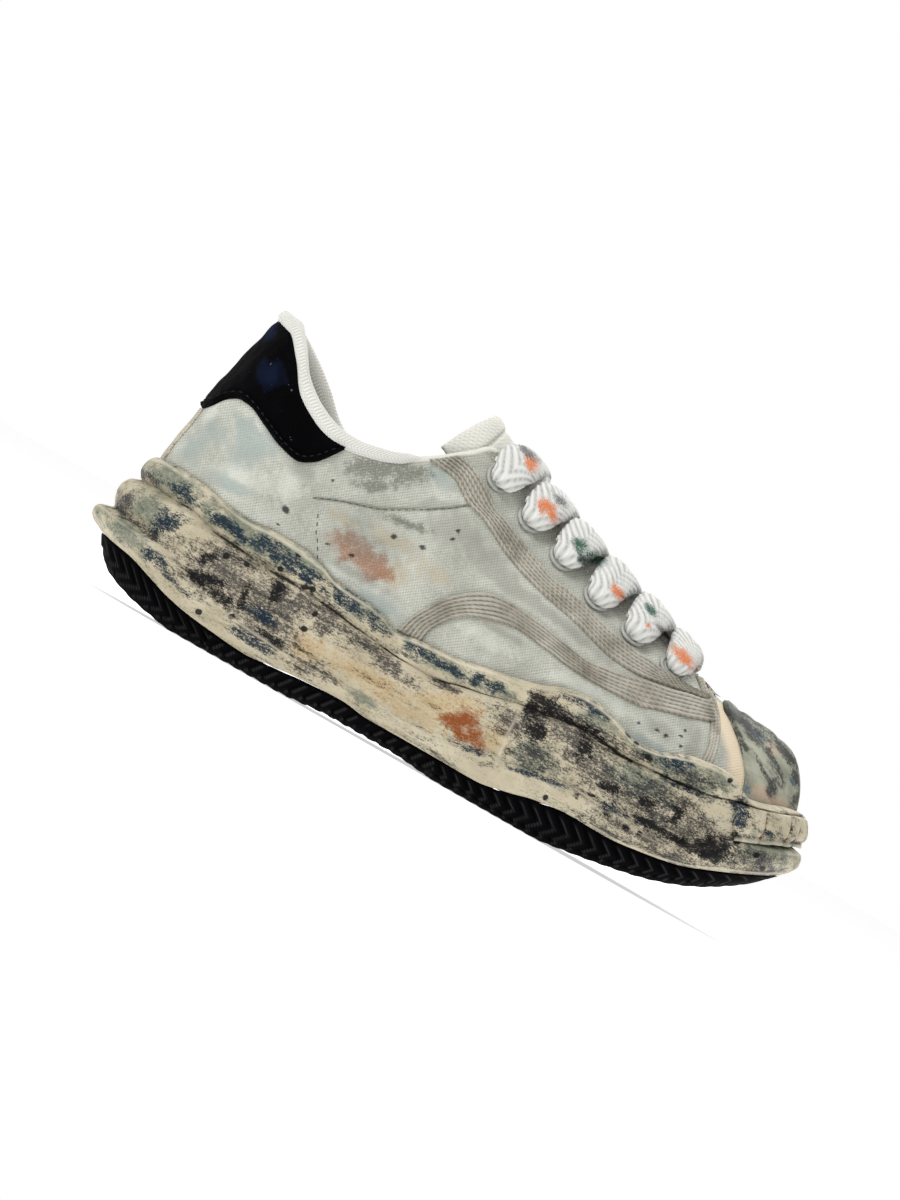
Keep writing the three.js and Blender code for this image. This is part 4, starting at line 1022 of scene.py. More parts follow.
def punch_holes():
    """Cuts the twelve eyelet holes through canvas and lining."""
    body = bmesh.new()
    for origin, away in seats[-1] + seats[1]:
        spin = Vector(away).to_track_quat("Z", "X").to_matrix().to_4x4()
        stand = Matrix.Translation(Vector((origin - MIDDLE) * MM)) @ spin
        size = EYELET_HOLE * MM
        bmesh.ops.create_cone(
            body, cap_ends=True, segments=28, radius1=size, radius2=size, depth=12 * MM, matrix=stand
        )
    mesh = bpy.data.meshes.new("punch")
    body.to_mesh(mesh)
    body.free()
    tool = bpy.data.objects.new("punch", mesh)
    scene.collection.objects.link(tool)
    cut = upper.modifiers.new("holes", "BOOLEAN")
    cut.operation = "DIFFERENCE"
    cut.solver = "EXACT"
    cut.object = tool
    seen = upper.evaluated_get(bpy.context.evaluated_depsgraph_get())
    mesh_cut = bpy.data.meshes.new_from_object(seen)
    upper.modifiers.clear()
    upper.data = mesh_cut
    bpy.data.objects.remove(tool)


punch_holes()
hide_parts("upper")
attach(upper, "root")


# ------------------------------------------------------------------ toe bumper
# A thicker strip of the same rubber glued round the toe over the middle band, with a rolled lower edge.
# It has folded and cracked where the toe bends, and the cracks have gone brown.

BUMPER_SPAN = 2.85  # ribs to each side of the toe
BUMPER_FOLDS = (0.62, 1.1, 1.95)  # ribs from the toe
BUMPER_THICK, BUMPER_ENDS = 3.4, 0.4
BUMPER_SLANT = 0.5
# How thick, between the lip and the seam lines, and a share of the thickness.
BUMPER_PROFILE = ((0.06, 0), (0.0, 0.6), (0.2, 1), (0.48, 1.02), (0.76, 0.66), (0.94, 0.24), (0.98, 0))


def toe_bumper():
    columns = 300
    u = np.linspace(TOE - BUMPER_SPAN, TOE + BUMPER_SPAN, columns)
    share = np.linspace(-1, 1, columns)
    x = plan_x(u)
    back = np.maximum(REACH["middle"](x), REACH["seam"](x)) * 1.06 + GAP + 0.15
    thick = BUMPER_ENDS + (BUMPER_THICK - BUMPER_ENDS) * (1 - np.abs(share) ** 5)
    fold = sum(np.exp(-(((np.abs(u - TOE) - place) / 0.05) ** 2)) for place in BUMPER_FOLDS)
    # The strip's ends are cut on a slant, further back at the top.
    rows = [
        wall(u + share**3 * BUMPER_SLANT * (up - 0.6), back + thick * part, "lip", "seam", up)
        for up, part in BUMPER_PROFILE
    ]
    shell, place = spread(rows, 44)
    v = place[:, None]
    arc = np.cumsum(np.r_[0, np.linalg.norm(np.diff(shell[20, :, :2], axis=0), axis=-1)])[None]
    out = 0.35 * lumps(arc, v * 5, 16, 31) + 0.12 * lumps(arc, v * 5, 5, 32)
    out = out - 1.5 * fold[None] * np.exp(-(((v - 2.6) / 2.2) ** 2))
    out = out + 0.7 * np.exp(-(((v - 1.1) / 0.45) ** 2)) - 0.6 * np.exp(-(((v - 1.9) / 0.4) ** 2))
    ease = np.clip(np.minimum(v / 0.8, (6 - v) / 1.5), 0, 1)
    shell[..., :2] += plan_normal(u)[None] * (out * ease)[..., None]
    count = len(shell)
    faces = list(map(tuple, grid_faces(columns, count, closed=True).tolist()))
    for first in (0, (columns - 1) * count):
        for k in range(count // 2 - 1):
            faces.append((first + k, first + k + 1, first + count - 2 - k, first + count - 1 - k))
    points = shell.transpose(1, 0, 2).reshape(-1, 3)
    values = sole_values(points)
    # Brown in the folds' cracks and in the groove under the rolled lower edge; painted shade in the same folds and
    # groove, and a painted highlight along the rolled edge.
    crack = fold[None] * np.exp(-(((v - 3) / 1.6) ** 2)) + 0.6 * np.exp(-(((v - 1.9) / 0.35) ** 2))
    values["rust"] = np.maximum(values["rust"], (0.75 * crack).T.reshape(-1))
    values["crease"] = (0.5 * crack).T.reshape(-1)
    values["ridge"] = (np.exp(-(((v - 1.2) / 0.4) ** 2)) + 0 * arc).T.reshape(-1)
    return make("toe_bumper_strip", points, faces, values, weld=0.01, slots=[cup.data.materials[0]])


bumper = toe_bumper()
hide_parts("toe_bumper")
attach(bumper, "root")


# ------------------------------------------------------------------ insole
# A soft footbed die-cut from foam and faced with pale cloth. It lies in the cup, and wear has dished it
# under the heel and the ball of the foot.

INSOLE = 4.5


def footbed_cloth():
    made, wire, shader = finish("footbed_cloth", 0.93, Specular_IOR_Level=0.1)
    weave = wire.noise(0.8, 2)
    worn = ((wire.noise(26, 3) - 0.42) * 2.5).clamp()
    base = worn.mix(colour(214, 211, 200), colour(176, 170, 154))
    connect(shader, Base_Color=base, Normal=bumped(wire, weave, 0.25))
    return made


def insole():
    columns = 160
    across = 46
    u = np.linspace(0, TOE, columns)
    inset = -(WALL + 1.2)
    outer, inner = (wall(v, np.full(columns, inset), "seam", "seam", 0) for v in (u, TURNS - u))
    share = np.linspace(0, 1, across)[:, None, None]
    flat = outer * (1 - share) + inner * share
    x, rim = flat[..., 0], np.minimum(share[..., 0], 1 - share[..., 0])
    base = floor_height(x)
    dish = 1.1 * np.exp(-(((x - 45) / 26) ** 2)) + 0.9 * np.exp(-(((x - 205) / 34) ** 2))
    thick = INSOLE - dish * np.clip(rim * 5, 0, 1) - 1.2 * np.clip(1 - rim / 0.02, 0, 1)
    over, under = flat.copy(), flat.copy()
    over[..., 2] = base + thick
    under[..., 2] = base + GAP
    points, faces = plate(over, under)
    return make("insole_footbed", points, faces, weld=0.01, slots=[footbed_cloth()])


def plate(over, under, folded=None):
    """A closed plate between two grids of points. Folded rim points, on the toe's ridge, get no edge wall."""
    rows, columns = over.shape[:2]
    count = rows * columns
    number = np.arange(count).reshape(rows, columns)
    rim = np.concatenate([number[0, :-1], number[:-1, -1], number[-1, :0:-1], number[:0:-1, 0]])
    after = np.roll(rim, -1)
    if folded is not None:
        apart = ~(folded.ravel()[rim] & folded.ravel()[after])
        rim, after = rim[apart], after[apart]
    walls = np.stack([rim, after, after + count, rim + count], -1)
    top = grid_faces(rows, columns)
    points = np.concatenate([over.reshape(-1, 3), under.reshape(-1, 3)])
    return points, np.concatenate([top, top[:, ::-1] + count, walls])


footbed = insole()
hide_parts("insole")
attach(footbed, "root")


# ------------------------------------------------------------------ toe cap
# A coated cap cemented over the toe: grey-green paint rubbed down, with charcoal streaks along its top.
# Its rear edge sweeps down from the ridge to the cup.

CAP_SPAN = 2.97  # ribs to each side of the toe
CAP_FOOT = 46.0
CAP_CREASES = ((252, 0.5), (259, 0.35), (270, 0.4))  # where each crosses the ridge, and its depth


def cap_coating():
    made, wire, shader = finish("toe_cap_coating", 0.7, Specular_IOR_Level=0.3)
    grain = wire.noise(1.1, 3, 0.7)
    drag = wire.noise(6, 4, 0.65, stretch=(0.25, 1.2, 1.4))
    cloud = wire.noise(14, 3)
    base = ((cloud - 0.32) * 2.4).clamp().mix(colour(120, 124, 108), colour(166, 166, 148))
    base = (((drag - 0.44) * 3).clamp() * 0.55).mix(base, colour(80, 80, 70))
    warm = ((wire.value("warm") - 0.4) * 1.7 + (grain - 0.5) * 3).clamp()
    base = (warm * 0.5).mix(base, colour(196, 160, 138))
    blue = ((wire.value("blue") - 0.42) * 2 + (grain - 0.5) * 4).clamp()
    base = (blue * 0.8).mix(base, colour(62, 84, 98))
    streak = ((wire.value("streak") - 0.34) * 1.5 + (drag - 0.5) * 3.4 + (grain - 0.5) * 3.4).clamp()
    base = (streak * 0.88).mix(base, colour(34, 34, 36))
    connect(shader, Base_Color=base, Roughness=drag * 0.3 + 0.5, Normal=bumped(wire, grain * 0.6 + drag * 0.4, 0.3))
    return made


CAP_MARKS = {
    "streak": (
        (258, 79, 16, 2.6, -4), (249, 78.6, 8, 2.4, -14), (275, 76, 9, 2.6, -24), (283, 71.6, 6, 2.6, -52),
        (262, 74.6, 12, 1.6, -20), (272, 70.4, 10, 1.5, -30), (256, 72.6, 6, 1.2, -30), (277.6, 62, 2.4, 4, 8),
        (270, 66, 8, 1.0, -34), (288, 62, 1.6, 4, 0),
    ),
    "warm": ((281, 57, 7, 3, 10), (273, 58, 4, 3, 0), (270, 75, 5, 2, -20)),
    "blue": ((268.6, 56, 2, 2.6, 0), (263, 76.6, 6, 1.4, -10), (283, 68, 3, 1.4, -50)),
}


def cut_rung(u, below):
    """The t up to which each rib stays under a cut, for ribs that start under it."""
    low, high = np.zeros_like(u), np.ones_like(u)
    for _ in range(24):
        middle = (low + high) / 2
        under = below(face(u, middle))
        low, high = np.where(under, middle, low), np.where(under, high, middle)
    return low


def toe_cap():
    columns = 200
    rows = 64
    reach = np.linspace(-1, 1, columns)
    u = TOE + CAP_SPAN * np.sign(reach) * np.abs(reach) ** 0.9
    bottom = rung_at(u, np.full(columns, CAP_FOOT))
    top = cut_rung(u, lambda p: p[..., 0] > CAP_BACK(p[..., 2]))
    top = np.where(top > 0.998, 1.0, top)
    used = top > bottom + 0.004
    u, bottom, top = u[used], bottom[used], top[used]
    s = np.linspace(0, 1, rows)[:, None]
    t = bottom * (1 - s) + top * s
    back = np.abs(skin(u, t, 0.0 * t)[..., 0] - CAP_BACK(skin(u, t, 0.0 * t)[..., 2]))
    lift = OVERLAY * np.clip(back / 1.2, 0.25, 1) ** 0.5
    spot = face(u, t)
    crease = 0.25 * lumps(spot[..., 0], spot[..., 1], 20, 41) + 0.12 * lumps(spot[..., 0], spot[..., 1], 7, 42)
    for at, deep in CAP_CREASES:
        bow = spot[..., 0] - at - 0.012 * spot[..., 1] ** 2
        crease = crease - deep * np.exp(-((bow / 1.3) ** 2)) * np.clip((spot[..., 2] - 70) / 8, 0, 1)
    over = cloth(u, t, GAP + lift + crease * np.clip(back / 3, 0, 1))
    under = cloth(u, t, GAP * 0.3)
    folded = (t > 0.999) & on_ridge(np.broadcast_to(u, t.shape))
    points, faces = plate(over, under, folded)
    values = marked(points, CAP_MARKS, alike=True)
    return make("toe_cap_shell", points, faces, values, weld=0.01, slots=[cap_coating()])


cap = toe_cap()
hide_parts("toe_cap")
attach(cap, "root")


# ------------------------------------------------------------------ heel tab and backstay
# A black felted heel tab wraps the back of the collar, with its lower edge turned under and stitched down.
# Under it a short cream twill tape covers the back seam.

TAB_EDGE = line(
    (13, 79.4), (16, 79.8), (19, 82), (24, 88), (28, 89.9), (32, 89.6), (40, 86.2), (50, 81.8), (58, 80.2),
    (64, 83), (70, 90.3), (72.6, 94.6), (76, 101), (84, 118),
)
TAB_SPAN = 5.75  # ribs to each side of the back
TAPE = 0.8
BACK_TAPE = {"half": 0.5, "low": 55.5, "high": 79.6}  # ribs to each side of the back, and heights


def felted_tab():
    made, wire, shader = finish("felted_tab", 0.95, Specular_IOR_Level=0.05)
    shader.inputs["Sheen Weight"].default_value = 0.01
    fuzz = wire.noise(0.55, 3, 0.7)
    nap = ((wire.noise(11, 3) - 0.5) * 3).clamp()
    base = nap.mix(colour(1, 1, 2), colour(4, 5, 8))
    navy = ((wire.value("navy") * 1.3 - 0.25) + (fuzz - 0.5) * 0.5).clamp()
    base = (navy * 0.8).mix(base, colour(15, 24, 46))
    lint = ((wire.noise(1.5, 2) - 0.72) * 18).clamp()
    base = (lint * 0.35).mix(base, colour(120, 126, 132))
    connect(shader, Base_Color=base, Normal=bumped(wire, fuzz, 0.35))
    return made


def twill_tape():
    made, wire, shader = finish("twill_tape", 0.92, Specular_IOR_Level=0.12)
    _, y, z = wire.axes()
    rib = ((y * 0.7 + z) * (2 * math.pi / (1.2 * MM))).sine() * 0.5 + 0.5
    base = (rib * 0.4 + wire.noise(6, 3) * 0.4).clamp().mix(colour(172, 165, 146), colour(214, 208, 190))
    connect(shader, Base_Color=base, Normal=bumped(wire, rib, 0.3))
    return made


def heel_tab():
    columns = 290
    rows = 58
    u = np.linspace(-TAB_SPAN, TAB_SPAN, columns)
    bottom = cut_rung(u, lambda p: p[..., 2] < TAB_EDGE(p[..., 0]))
    used = bottom < 0.985
    u, bottom = u[used], bottom[used]
    s = np.linspace(0, 1, rows)[:, None]
    t = bottom * (1 - s) + 0.997 * s
    spot = face(u, t)
    up = spot[..., 2] - TAB_EDGE(spot[..., 0])
    edge = np.clip(up / 1.0, 0, 1) ** 0.5
    hem = 0.55 * np.exp(-(((up - 1.3) / 0.8) ** 2)) - 0.35 * np.exp(-(((up - 3.0) / 0.5) ** 2))
    soft = 0.35 * lumps(u * 13, spot[..., 2], 18, 51) + 0.1 * lumps(u * 13, spot[..., 2], 6, 52)
    tucked = np.clip((1.0 - t) / 0.05, 0, 1)  # the top edge goes in under the collar roll
    puffed = (hem + soft * np.clip(up / 3, 0, 1)) * tucked
    over = cloth(u, t, GAP + (OVERLAY - 0.25) * edge * (0.3 + 0.7 * tucked) + puffed)
    under = cloth(u, t, GAP * 0.3)
    points, faces = plate(over, under)
    navy = {"navy": ((33, 104, 5, 5, 0), (24, 118, 2.6, 4, 0))}
    return make("heel_tab_felt", points, faces, marked(points, navy), weld=0.01, slots=[felted_tab()])


def back_tape():
    columns = 40
    rows = 90
    u = np.linspace(-BACK_TAPE["half"], BACK_TAPE["half"], columns)
    bottom, top = (rung_at(u, np.full(columns, BACK_TAPE[key])) for key in ("low", "high"))
    s = np.linspace(0, 1, rows)[:, None]
    t = bottom * (1 - s) + top * s
    width = 1 - np.abs(u / BACK_TAPE["half"]) ** 12
    chance = np.random.default_rng(61)
    frayed = u * (1 + 0.05 * chance.normal(size=(rows, 1)) * (np.abs(u) > 0.8 * BACK_TAPE["half"]))
    over = cloth(frayed, t, 0.25 + TAPE * width)
    under = cloth(frayed, t, 0.05)
    points, faces = plate(over, under)
    return make("heel_back_tape", points, faces, weld=0.005, slots=[twill_tape()])


tab = heel_tab()
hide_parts("heel_tab")
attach(tab, "root")
tape = back_tape()
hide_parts("heel_strip")
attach(tape, "root")


# ------------------------------------------------------------------ collar roll
# Soft white rib knit, padded with foam and turned out over the back of the collar.
# Its stitches lean in slanting rows, and a narrow bound edge carries on forward to the throat.

ROLL_HIGH = line((0, 1.6), (1.5, 1.7), (2.6, 2.6), (3.6, 3.2), (4.6, 2.6), (5.6, 1.3), (7, 0.8))
ROLL_WIDTH = 2.7
ROLL_END = 6.8
OVER_RIM = 1.8
STITCH_ROW = 1.35
PIPING = 1.05
PIPING_REACH = (6.1, 9.05)  # the ribs between which the bound edge runs
PIPING_SIDES = 16


def rib_knit(name, light, dark, depth=0.4):
    made, wire, shader = finish(name, 0.95, Specular_IOR_Level=0.1)
    rib = wire.value("rib")
    fuzz = wire.noise(0.6, 3, 0.7)
    soiled = ((wire.noise(13, 3) - 0.5) * 3).clamp() * 0.5
    base = (rib * 0.75 + fuzz * 0.35).clamp().mix(dark, light)
    base = (soiled * 0.5).mix(base, colour(184, 180, 166))
    connect(shader, Base_Color=base, Normal=bumped(wire, fuzz, depth))
    return made


def collar_roll():
    columns = 740
    sides = 32
    u = np.linspace(-ROLL_END, ROLL_END, columns)[:, None]
    angle = np.arange(sides)[None] * 2 * np.pi / sides
    high = ROLL_HIGH(np.abs(u))
    wide = ROLL_WIDTH * np.minimum(1, 0.35 + high / 3)
    edge = skin(u, 1.0, np.full_like(u, -WALL / 2))
    out = plan_normal(u)
    arc = np.cumsum(np.r_[0, np.linalg.norm(np.diff(edge[:, 0], axis=0), axis=-1)])[:, None]
    turned = angle / np.pi - 1
    phase = arc / STITCH_ROW + 1.4 * np.abs(((angle / (2 * np.pi) * 8) % 2) - 1)
    rib = 0.5 + 0.5 * np.cos(2 * np.pi * phase)
    swell = 1 + (0.09 * (rib - 0.5) + 0.05 * lumps(arc, turned * 6, 21, 71)) * np.clip(2.4 / high, 0, 1.2)
    ends = np.clip((ROLL_END - np.abs(u)) / 0.35, 0.05, 1) ** 0.5
    # The roll is folded down over the rim on both sides, so it hides the cut edges of tab, canvas and lining.
    fold = high + OVER_RIM / 2 + 0.5
    across = wide * np.cos(angle) * swell * ends
    up = fold * np.sin(angle) * swell * ends
    centre = edge[..., :2] - out * (wide - 2.9)[..., None]
    level = edge[..., 2] + 1 + 2 * high - fold + up
    rings = np.concatenate([centre + out * across[..., None], level[..., None]], -1)
    points = rings.reshape(-1, 3)
    faces = list(map(tuple, grid_faces(columns, sides, closed=True).tolist()))
    faces += [tuple(range(sides))[::-1], tuple((columns - 1) * sides + k for k in range(sides))]
    knit = rib_knit("collar_knit", colour(238, 238, 232), colour(176, 176, 168))
    return make("collar_roll_knit", points, faces, {"rib": rib.reshape(-1)}, slots=[knit], outward=True)


def tube(path, radii, lift, sides, squash):
    """Rings of points round a path, as wide as radii and squashed along the lift direction."""
    path, lift = np.asarray(path, float), np.asarray(lift, float)
    along = np.gradient(path, axis=0)
    along /= np.linalg.norm(along, axis=-1, keepdims=True)
    across = np.cross(along, lift)
    across /= np.linalg.norm(across, axis=-1, keepdims=True)
    lift = np.cross(across, along)
    angle = np.arange(sides)[None, :, None] * 2 * np.pi / sides
    radii = np.asarray(radii, float)[:, None, None]
    return path[:, None] + radii * (across[:, None] * np.cos(angle) + squash * lift[:, None] * np.sin(angle))


def tube_faces(count, sides, first=0):
    faces = [tuple(one) for one in (grid_faces(count, sides, closed=True) + first).tolist()]
    last = first + (count - 1) * sides
    return faces + [tuple(first + k for k in range(sides))[::-1], tuple(last + k for k in range(sides))]


def collar_piping():
    points, faces = [], []
    back, front = PIPING_REACH
    for low, high in ((back, front), (TURNS - front, TURNS - back)):
        u = np.linspace(low, high, 200)
        path = skin(u, np.ones_like(u), np.full_like(u, -WALL * 0.42))
        rings = tube(path, np.full(len(u), PIPING * 1.45), plan_lift(u), PIPING_SIDES, 0.8)
        faces += tube_faces(len(u), PIPING_SIDES, len(points) * len(u) * PIPING_SIDES)
        points.append(rings.reshape(-1, 3))
    points = np.concatenate(points)
    rib = 0.75 + 0.1 * np.sin(points[:, 0] * 2 * np.pi / 1.1)
    knit = rib_knit("collar_binding", colour(226, 225, 216), colour(160, 158, 146), 0.25)
    return make("collar_binding_tape", points, faces, {"rib": rib}, slots=[knit], outward=True)


def plan_lift(u):
    out = plan_normal(u)
    return np.concatenate([out * 0.2, np.ones(out.shape[:-1] + (1,))], -1)


roll = collar_roll()
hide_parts("collar_roll")
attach(roll, "root")
binding = collar_piping()
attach(binding, "root")


# ------------------------------------------------------------------ tongue
# A padded tongue of the same pale rib knit over foam, held under the throat and swept back at the top.
# A wide bound edge is folded over its top and sewn through.

UNDER = WALL + 3  # the tongue's face lies this far below the upper's, leaving room for the lace
TONGUE = 4.5
crest = line(
    (115, 133.6), (121, 129.8), (130, 125), (141, 119.3), (160, 110.3), (180, 101.4), (200, 93.6),
    (215, 88.4), (225, 82.8), (233, 77), (244, 72.5),
)
tongue_rib = line((121, 9), (138, 10), (160, 11), (184, 12), (206, 13), (222, 14), (233, 14.8), (244, 15.4))
free_top = line((115, 1), (132, 0))
# Beside the middle line of the free top: how far back, out and down.
FREE_EDGE = ((3, 11, 4.2), (7.5, 16, 12), (12, 18, 21))
BINDING = 7.5


def tongue():
    places = 230
    across = 60
    x = np.linspace(115, 240, places)
    rows = []
    for side in (-1, 1):
        rib = tongue_rib(x) if side < 0 else TURNS - tongue_rib(x)
        half = []
        for (back, out, down), t in zip(FREE_EDGE, (0.97, 0.88, 0.78)):
            held = skin(rib, np.full(places, t), np.full(places, -UNDER))
            free = np.stack([x - back, side * out + drift(x), crest(x) - down], -1)
            share = free_top(x)[:, None]
            half.append(held * (1 - share) + free * share)
        rows.append(half)
    middle = np.stack([x, drift(x), crest(x)], -1)
    control = np.stack([*rows[0][::-1], middle, *rows[1]])
    face_rows, place = spread(control, across)
    along = np.gradient(face_rows, axis=1)
    over = np.gradient(face_rows, axis=0)
    normal = np.cross(over, along)
    normal /= np.linalg.norm(normal, axis=-1, keepdims=True)
    normal *= np.sign(normal[across // 2, places // 2, 2])
    w = place[:, None] - 3
    from_top = np.cumsum(np.r_[0, np.linalg.norm(np.diff(middle, axis=0), axis=-1)])[None]
    bound = from_top < BINDING
    rib = 0.5 + 0.25 * (np.cos(2 * np.pi * (from_top + w * 7) / 2.0) + np.cos(2 * np.pi * (from_top - w * 7) / 1.7))
    rib = np.where(bound, 0.5 + 0.5 * np.cos(2 * np.pi * (from_top * 0.8 + w * 6) / 1.5), rib)
    seam = np.exp(-(((from_top - BINDING) / 0.6) ** 2))
    puff = 0.9 * np.clip(1 - np.abs(w) / 3.2, 0, 1) ** 0.5 * np.clip((36 - from_top) / 20, 0, 1)
    relief = 0.2 * (rib - 0.5) - 0.9 * seam + 0.5 * bound + 0.3 * lumps(from_top, w * 6, 16, 81) + puff - 0.4
    roundness = np.sqrt(np.clip(np.minimum(3.05 - np.abs(w), from_top / 5 + 0.02), 0, 1))
    top_side = face_rows + normal * (relief * roundness - 1.2 * (1 - roundness))[..., None]
    under_side = face_rows - normal * (TONGUE * (0.45 + 0.55 * roundness))[..., None]
    points, faces = plate(top_side, under_side)
    values = {"rib": np.concatenate([rib.ravel(), rib.ravel()])}
    knit = rib_knit("tongue_knit", colour(236, 235, 227), colour(188, 186, 174))
    return make("tongue_knit_pad", points, faces, values, weld=0.005, slots=[knit])


pad = tongue()
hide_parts("tongue")
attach(pad, "root")


# ------------------------------------------------------------------ webbing trims
# Two braided webbing trims sewn over the canvas: one runs down beside the eyelets, the other curves up from
# the cup and forward to the vamp. Each is a row of twisted taupe cords, with painted shade in the hollows between
# them.

EYESTAY_TRIM = {
    "low": (
        (101, 105.4), (112, 104.3), (117, 101.8), (122, 98.5), (130, 96), (140, 91), (150, 86.8), (160, 83.5),
        (170, 81), (180, 79), (190, 76), (200, 73.8), (212, 73.4), (225, 75.4), (238, 78),
    ),
    "high": (
        (110, 112.2), (117, 111.4), (123, 108.5), (128, 105), (133, 101.5), (138, 99.5), (145, 97), (152, 94),
        (158, 91.5), (165, 89), (172, 87.5), (180, 86), (190, 83.4), (200, 81.3), (208, 80.3),
        (220, 78.9), (232, 78.9), (240, 79.6),
    ),
}
WAIST_TRIM = {
    "low": (
        (133, 43), (134, 49), (136, 53), (139, 57), (143, 60.5), (148, 62.8), (153, 64.3), (158, 65.3), (163, 65.8),
        (170, 65.2), (178, 64.2), (185, 63.2), (193, 62.7), (207, 62.8), (213, 63.2), (220, 64.5), (228, 66.5),
        (236, 69), (246, 72.2),
    ),
    "high": (
        (123, 43), (125, 50), (128, 55.5), (131, 60.5), (135, 65), (139, 68.5), (143, 71), (147, 72.8),
        (152, 73.5), (158, 73.2), (165, 72.5), (172, 71.8), (180, 70.2), (186, 69), (192, 68.7), (200, 69.8),
        (210, 71.8), (220, 73.4), (230, 75.8), (242, 78.6),
    ),
}


def traced(points, count):
    """count points spread evenly along a smooth side-view line."""
    fine = spread(points, 30 * len(points))[0]
    run = np.cumsum(np.r_[0, np.linalg.norm(np.diff(fine, axis=0), axis=-1)])
    even = np.linspace(0, run[-1], count)
    return np.stack([np.interp(even, run, fine[:, k]) for k in (0, 1)], -1), run[-1]


def webbing():
    made, wire, shader = finish("webbing_cord", 0.9, Specular_IOR_Level=0.15)
    fuzz = wire.noise(0.5, 3, 0.7)
    dust = wire.noise(9, 3, 0.6)
    base = ((dust - 0.35) * 2.8).clamp().mix(colour(146, 141, 127), colour(198, 193, 178))
    # Painted shade between the cords and in each twist's hollow.
    base = (((1 - wire.value("rib")) * 1.5 - 0.4 + (fuzz - 0.5) * 2).clamp() * 0.85).mix(base, colour(84, 80, 70))
    base = ((wire.value("worn") + (fuzz - 0.5) * 3 - 0.2).clamp() * 0.6).mix(base, colour(208, 204, 195))
    connect(shader, Base_Color=base, Normal=bumped(wire, fuzz, 0.35))
    return made


STRAP_TUCK = 0.012  # the share of a strap's length over which each end sinks in under its neighbour


def strap(name, edges, cords, proud, material, twist=2.3, count=300):
    """Cords laid side by side on both sides of the upper, between two side-view lines."""
    points, faces, shades, worn = [], [], [], []
    (low, length), (high, _) = traced(edges["low"], count), traced(edges["high"], count)
    share = np.linspace(0, 1, cords * 6 + 1)[:, None]
    run = np.linspace(0, 1, count)[None]
    for side in (-1, 1):
        x, z = (low[None, :, k] * (1 - share) + high[None, :, k] * share for k in (0, 1))
        x = x + 0.12 * lumps(run * length, share * 9, 9, 91)
        u, t = on_face(x, z, side)
        cord = np.abs(np.sin(np.pi * share * cords)) ** 0.6
        turns = run * length / twist + 0.37 * np.floor(share * cords * 0.999) + 1.3 * share * cords
        lay = 0.5 + 0.5 * np.sin(2 * np.pi * turns)
        ends = np.clip(np.minimum(run / STRAP_TUCK, (1 - run) / STRAP_TUCK), 0, 1) ** 0.5
        uneven = 0.9 + 0.14 * lumps(run * length, share * 9, 13, 92)
        lift = proud * (0.5 + 0.5 * cord * (0.55 + 0.45 * lay)) * uneven
        lift = np.where((share == 0) | (share == 1), 0.1, lift)
        over = cloth(u, t, 0.05 + lift * ends)
        under = cloth(u, t, -0.25)
        made, quads = plate(over, under)
        faces.append(quads + sum(map(len, points)))
        points.append(made)
        # Painted shade: darker between the cords and in each twist's hollow.
        shade = (0.6 + 0.4 * cord) * (0.3 + 0.7 * lay)
        shades += [shade.ravel(), shade.ravel()]
        paler = np.clip(0.5 + 0.5 * lumps(run * length, share * 4, 30, 93), 0, 1) * cord
        worn += [paler.ravel(), paler.ravel()]
    values = {"rib": np.concatenate(shades), "worn": np.concatenate(worn)}
    return make(name, np.concatenate(points), np.concatenate(faces), values, weld=0.005, slots=[material])


cord_cloth = webbing()
for piece in (
    strap("waist_trim", WAIST_TRIM, 6, 1.9, cord_cloth),
    strap("eyestay_trim", EYESTAY_TRIM, 6, 2.3, cord_cloth),
):
    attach(piece, "root")


# ------------------------------------------------------------------ vamp hem
# The front edge of the vamp is a narrow band of the same braided cords, sewn down over the canvas's cut edge
# from the throat to the cup.

VAMP_HEM = {
    "low": ((230.6, 84), (236, 80), (242, 74.6), (245.2, 69), (247, 64), (247.8, 59), (247.8, 53.5)),
    "high": ((235.2, 85), (240, 81.5), (245.5, 76.5), (248.7, 71), (250.6, 65), (251.7, 60), (252, 53.5)),
}
hem = strap("vamp_hem", VAMP_HEM, 3, 0.9, cord_cloth, twist=1.3, count=240)
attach(hem, "root")


# ------------------------------------------------------------------ eyelets
# Twelve pressed metal eyelets, painted light grey: a rolled outer flange, a second ridge inside it, and a
# barrel that runs through canvas and lining.


def eyelet_paint():
    made, wire, shader = finish("eyelet_paint", 0.45, Specular_IOR_Level=0.5)
    chip = ((wire.noise(1.6, 3) - 0.58) * 9).clamp()
    base = ((wire.noise(5, 2) - 0.3) * 2).clamp().mix(colour(150, 150, 145), colour(186, 186, 181))
    connect(shader, Base_Color=(chip * 0.5).mix(base, colour(108, 104, 98)), Metallic=chip * 0.4)
    return made


def flow_tree(name, sizes):
    """An empty Geometry Nodes tree with named inputs. Returns the tree, its start wire and its input wires."""
    tree = bpy.data.node_groups.new(name, "GeometryNodeTree")
    tree.interface.new_socket("Geometry", in_out="INPUT", socket_type="NodeSocketGeometry")
    for key in sizes:
        tree.interface.new_socket(key, in_out="INPUT", socket_type="NodeSocketFloat")
    tree.interface.new_socket("Geometry", in_out="OUTPUT", socket_type="NodeSocketGeometry")
    start = tree.nodes.new("NodeGroupInput")
    return tree, {socket.name: Wire(tree, socket) for socket in start.outputs if socket.name}


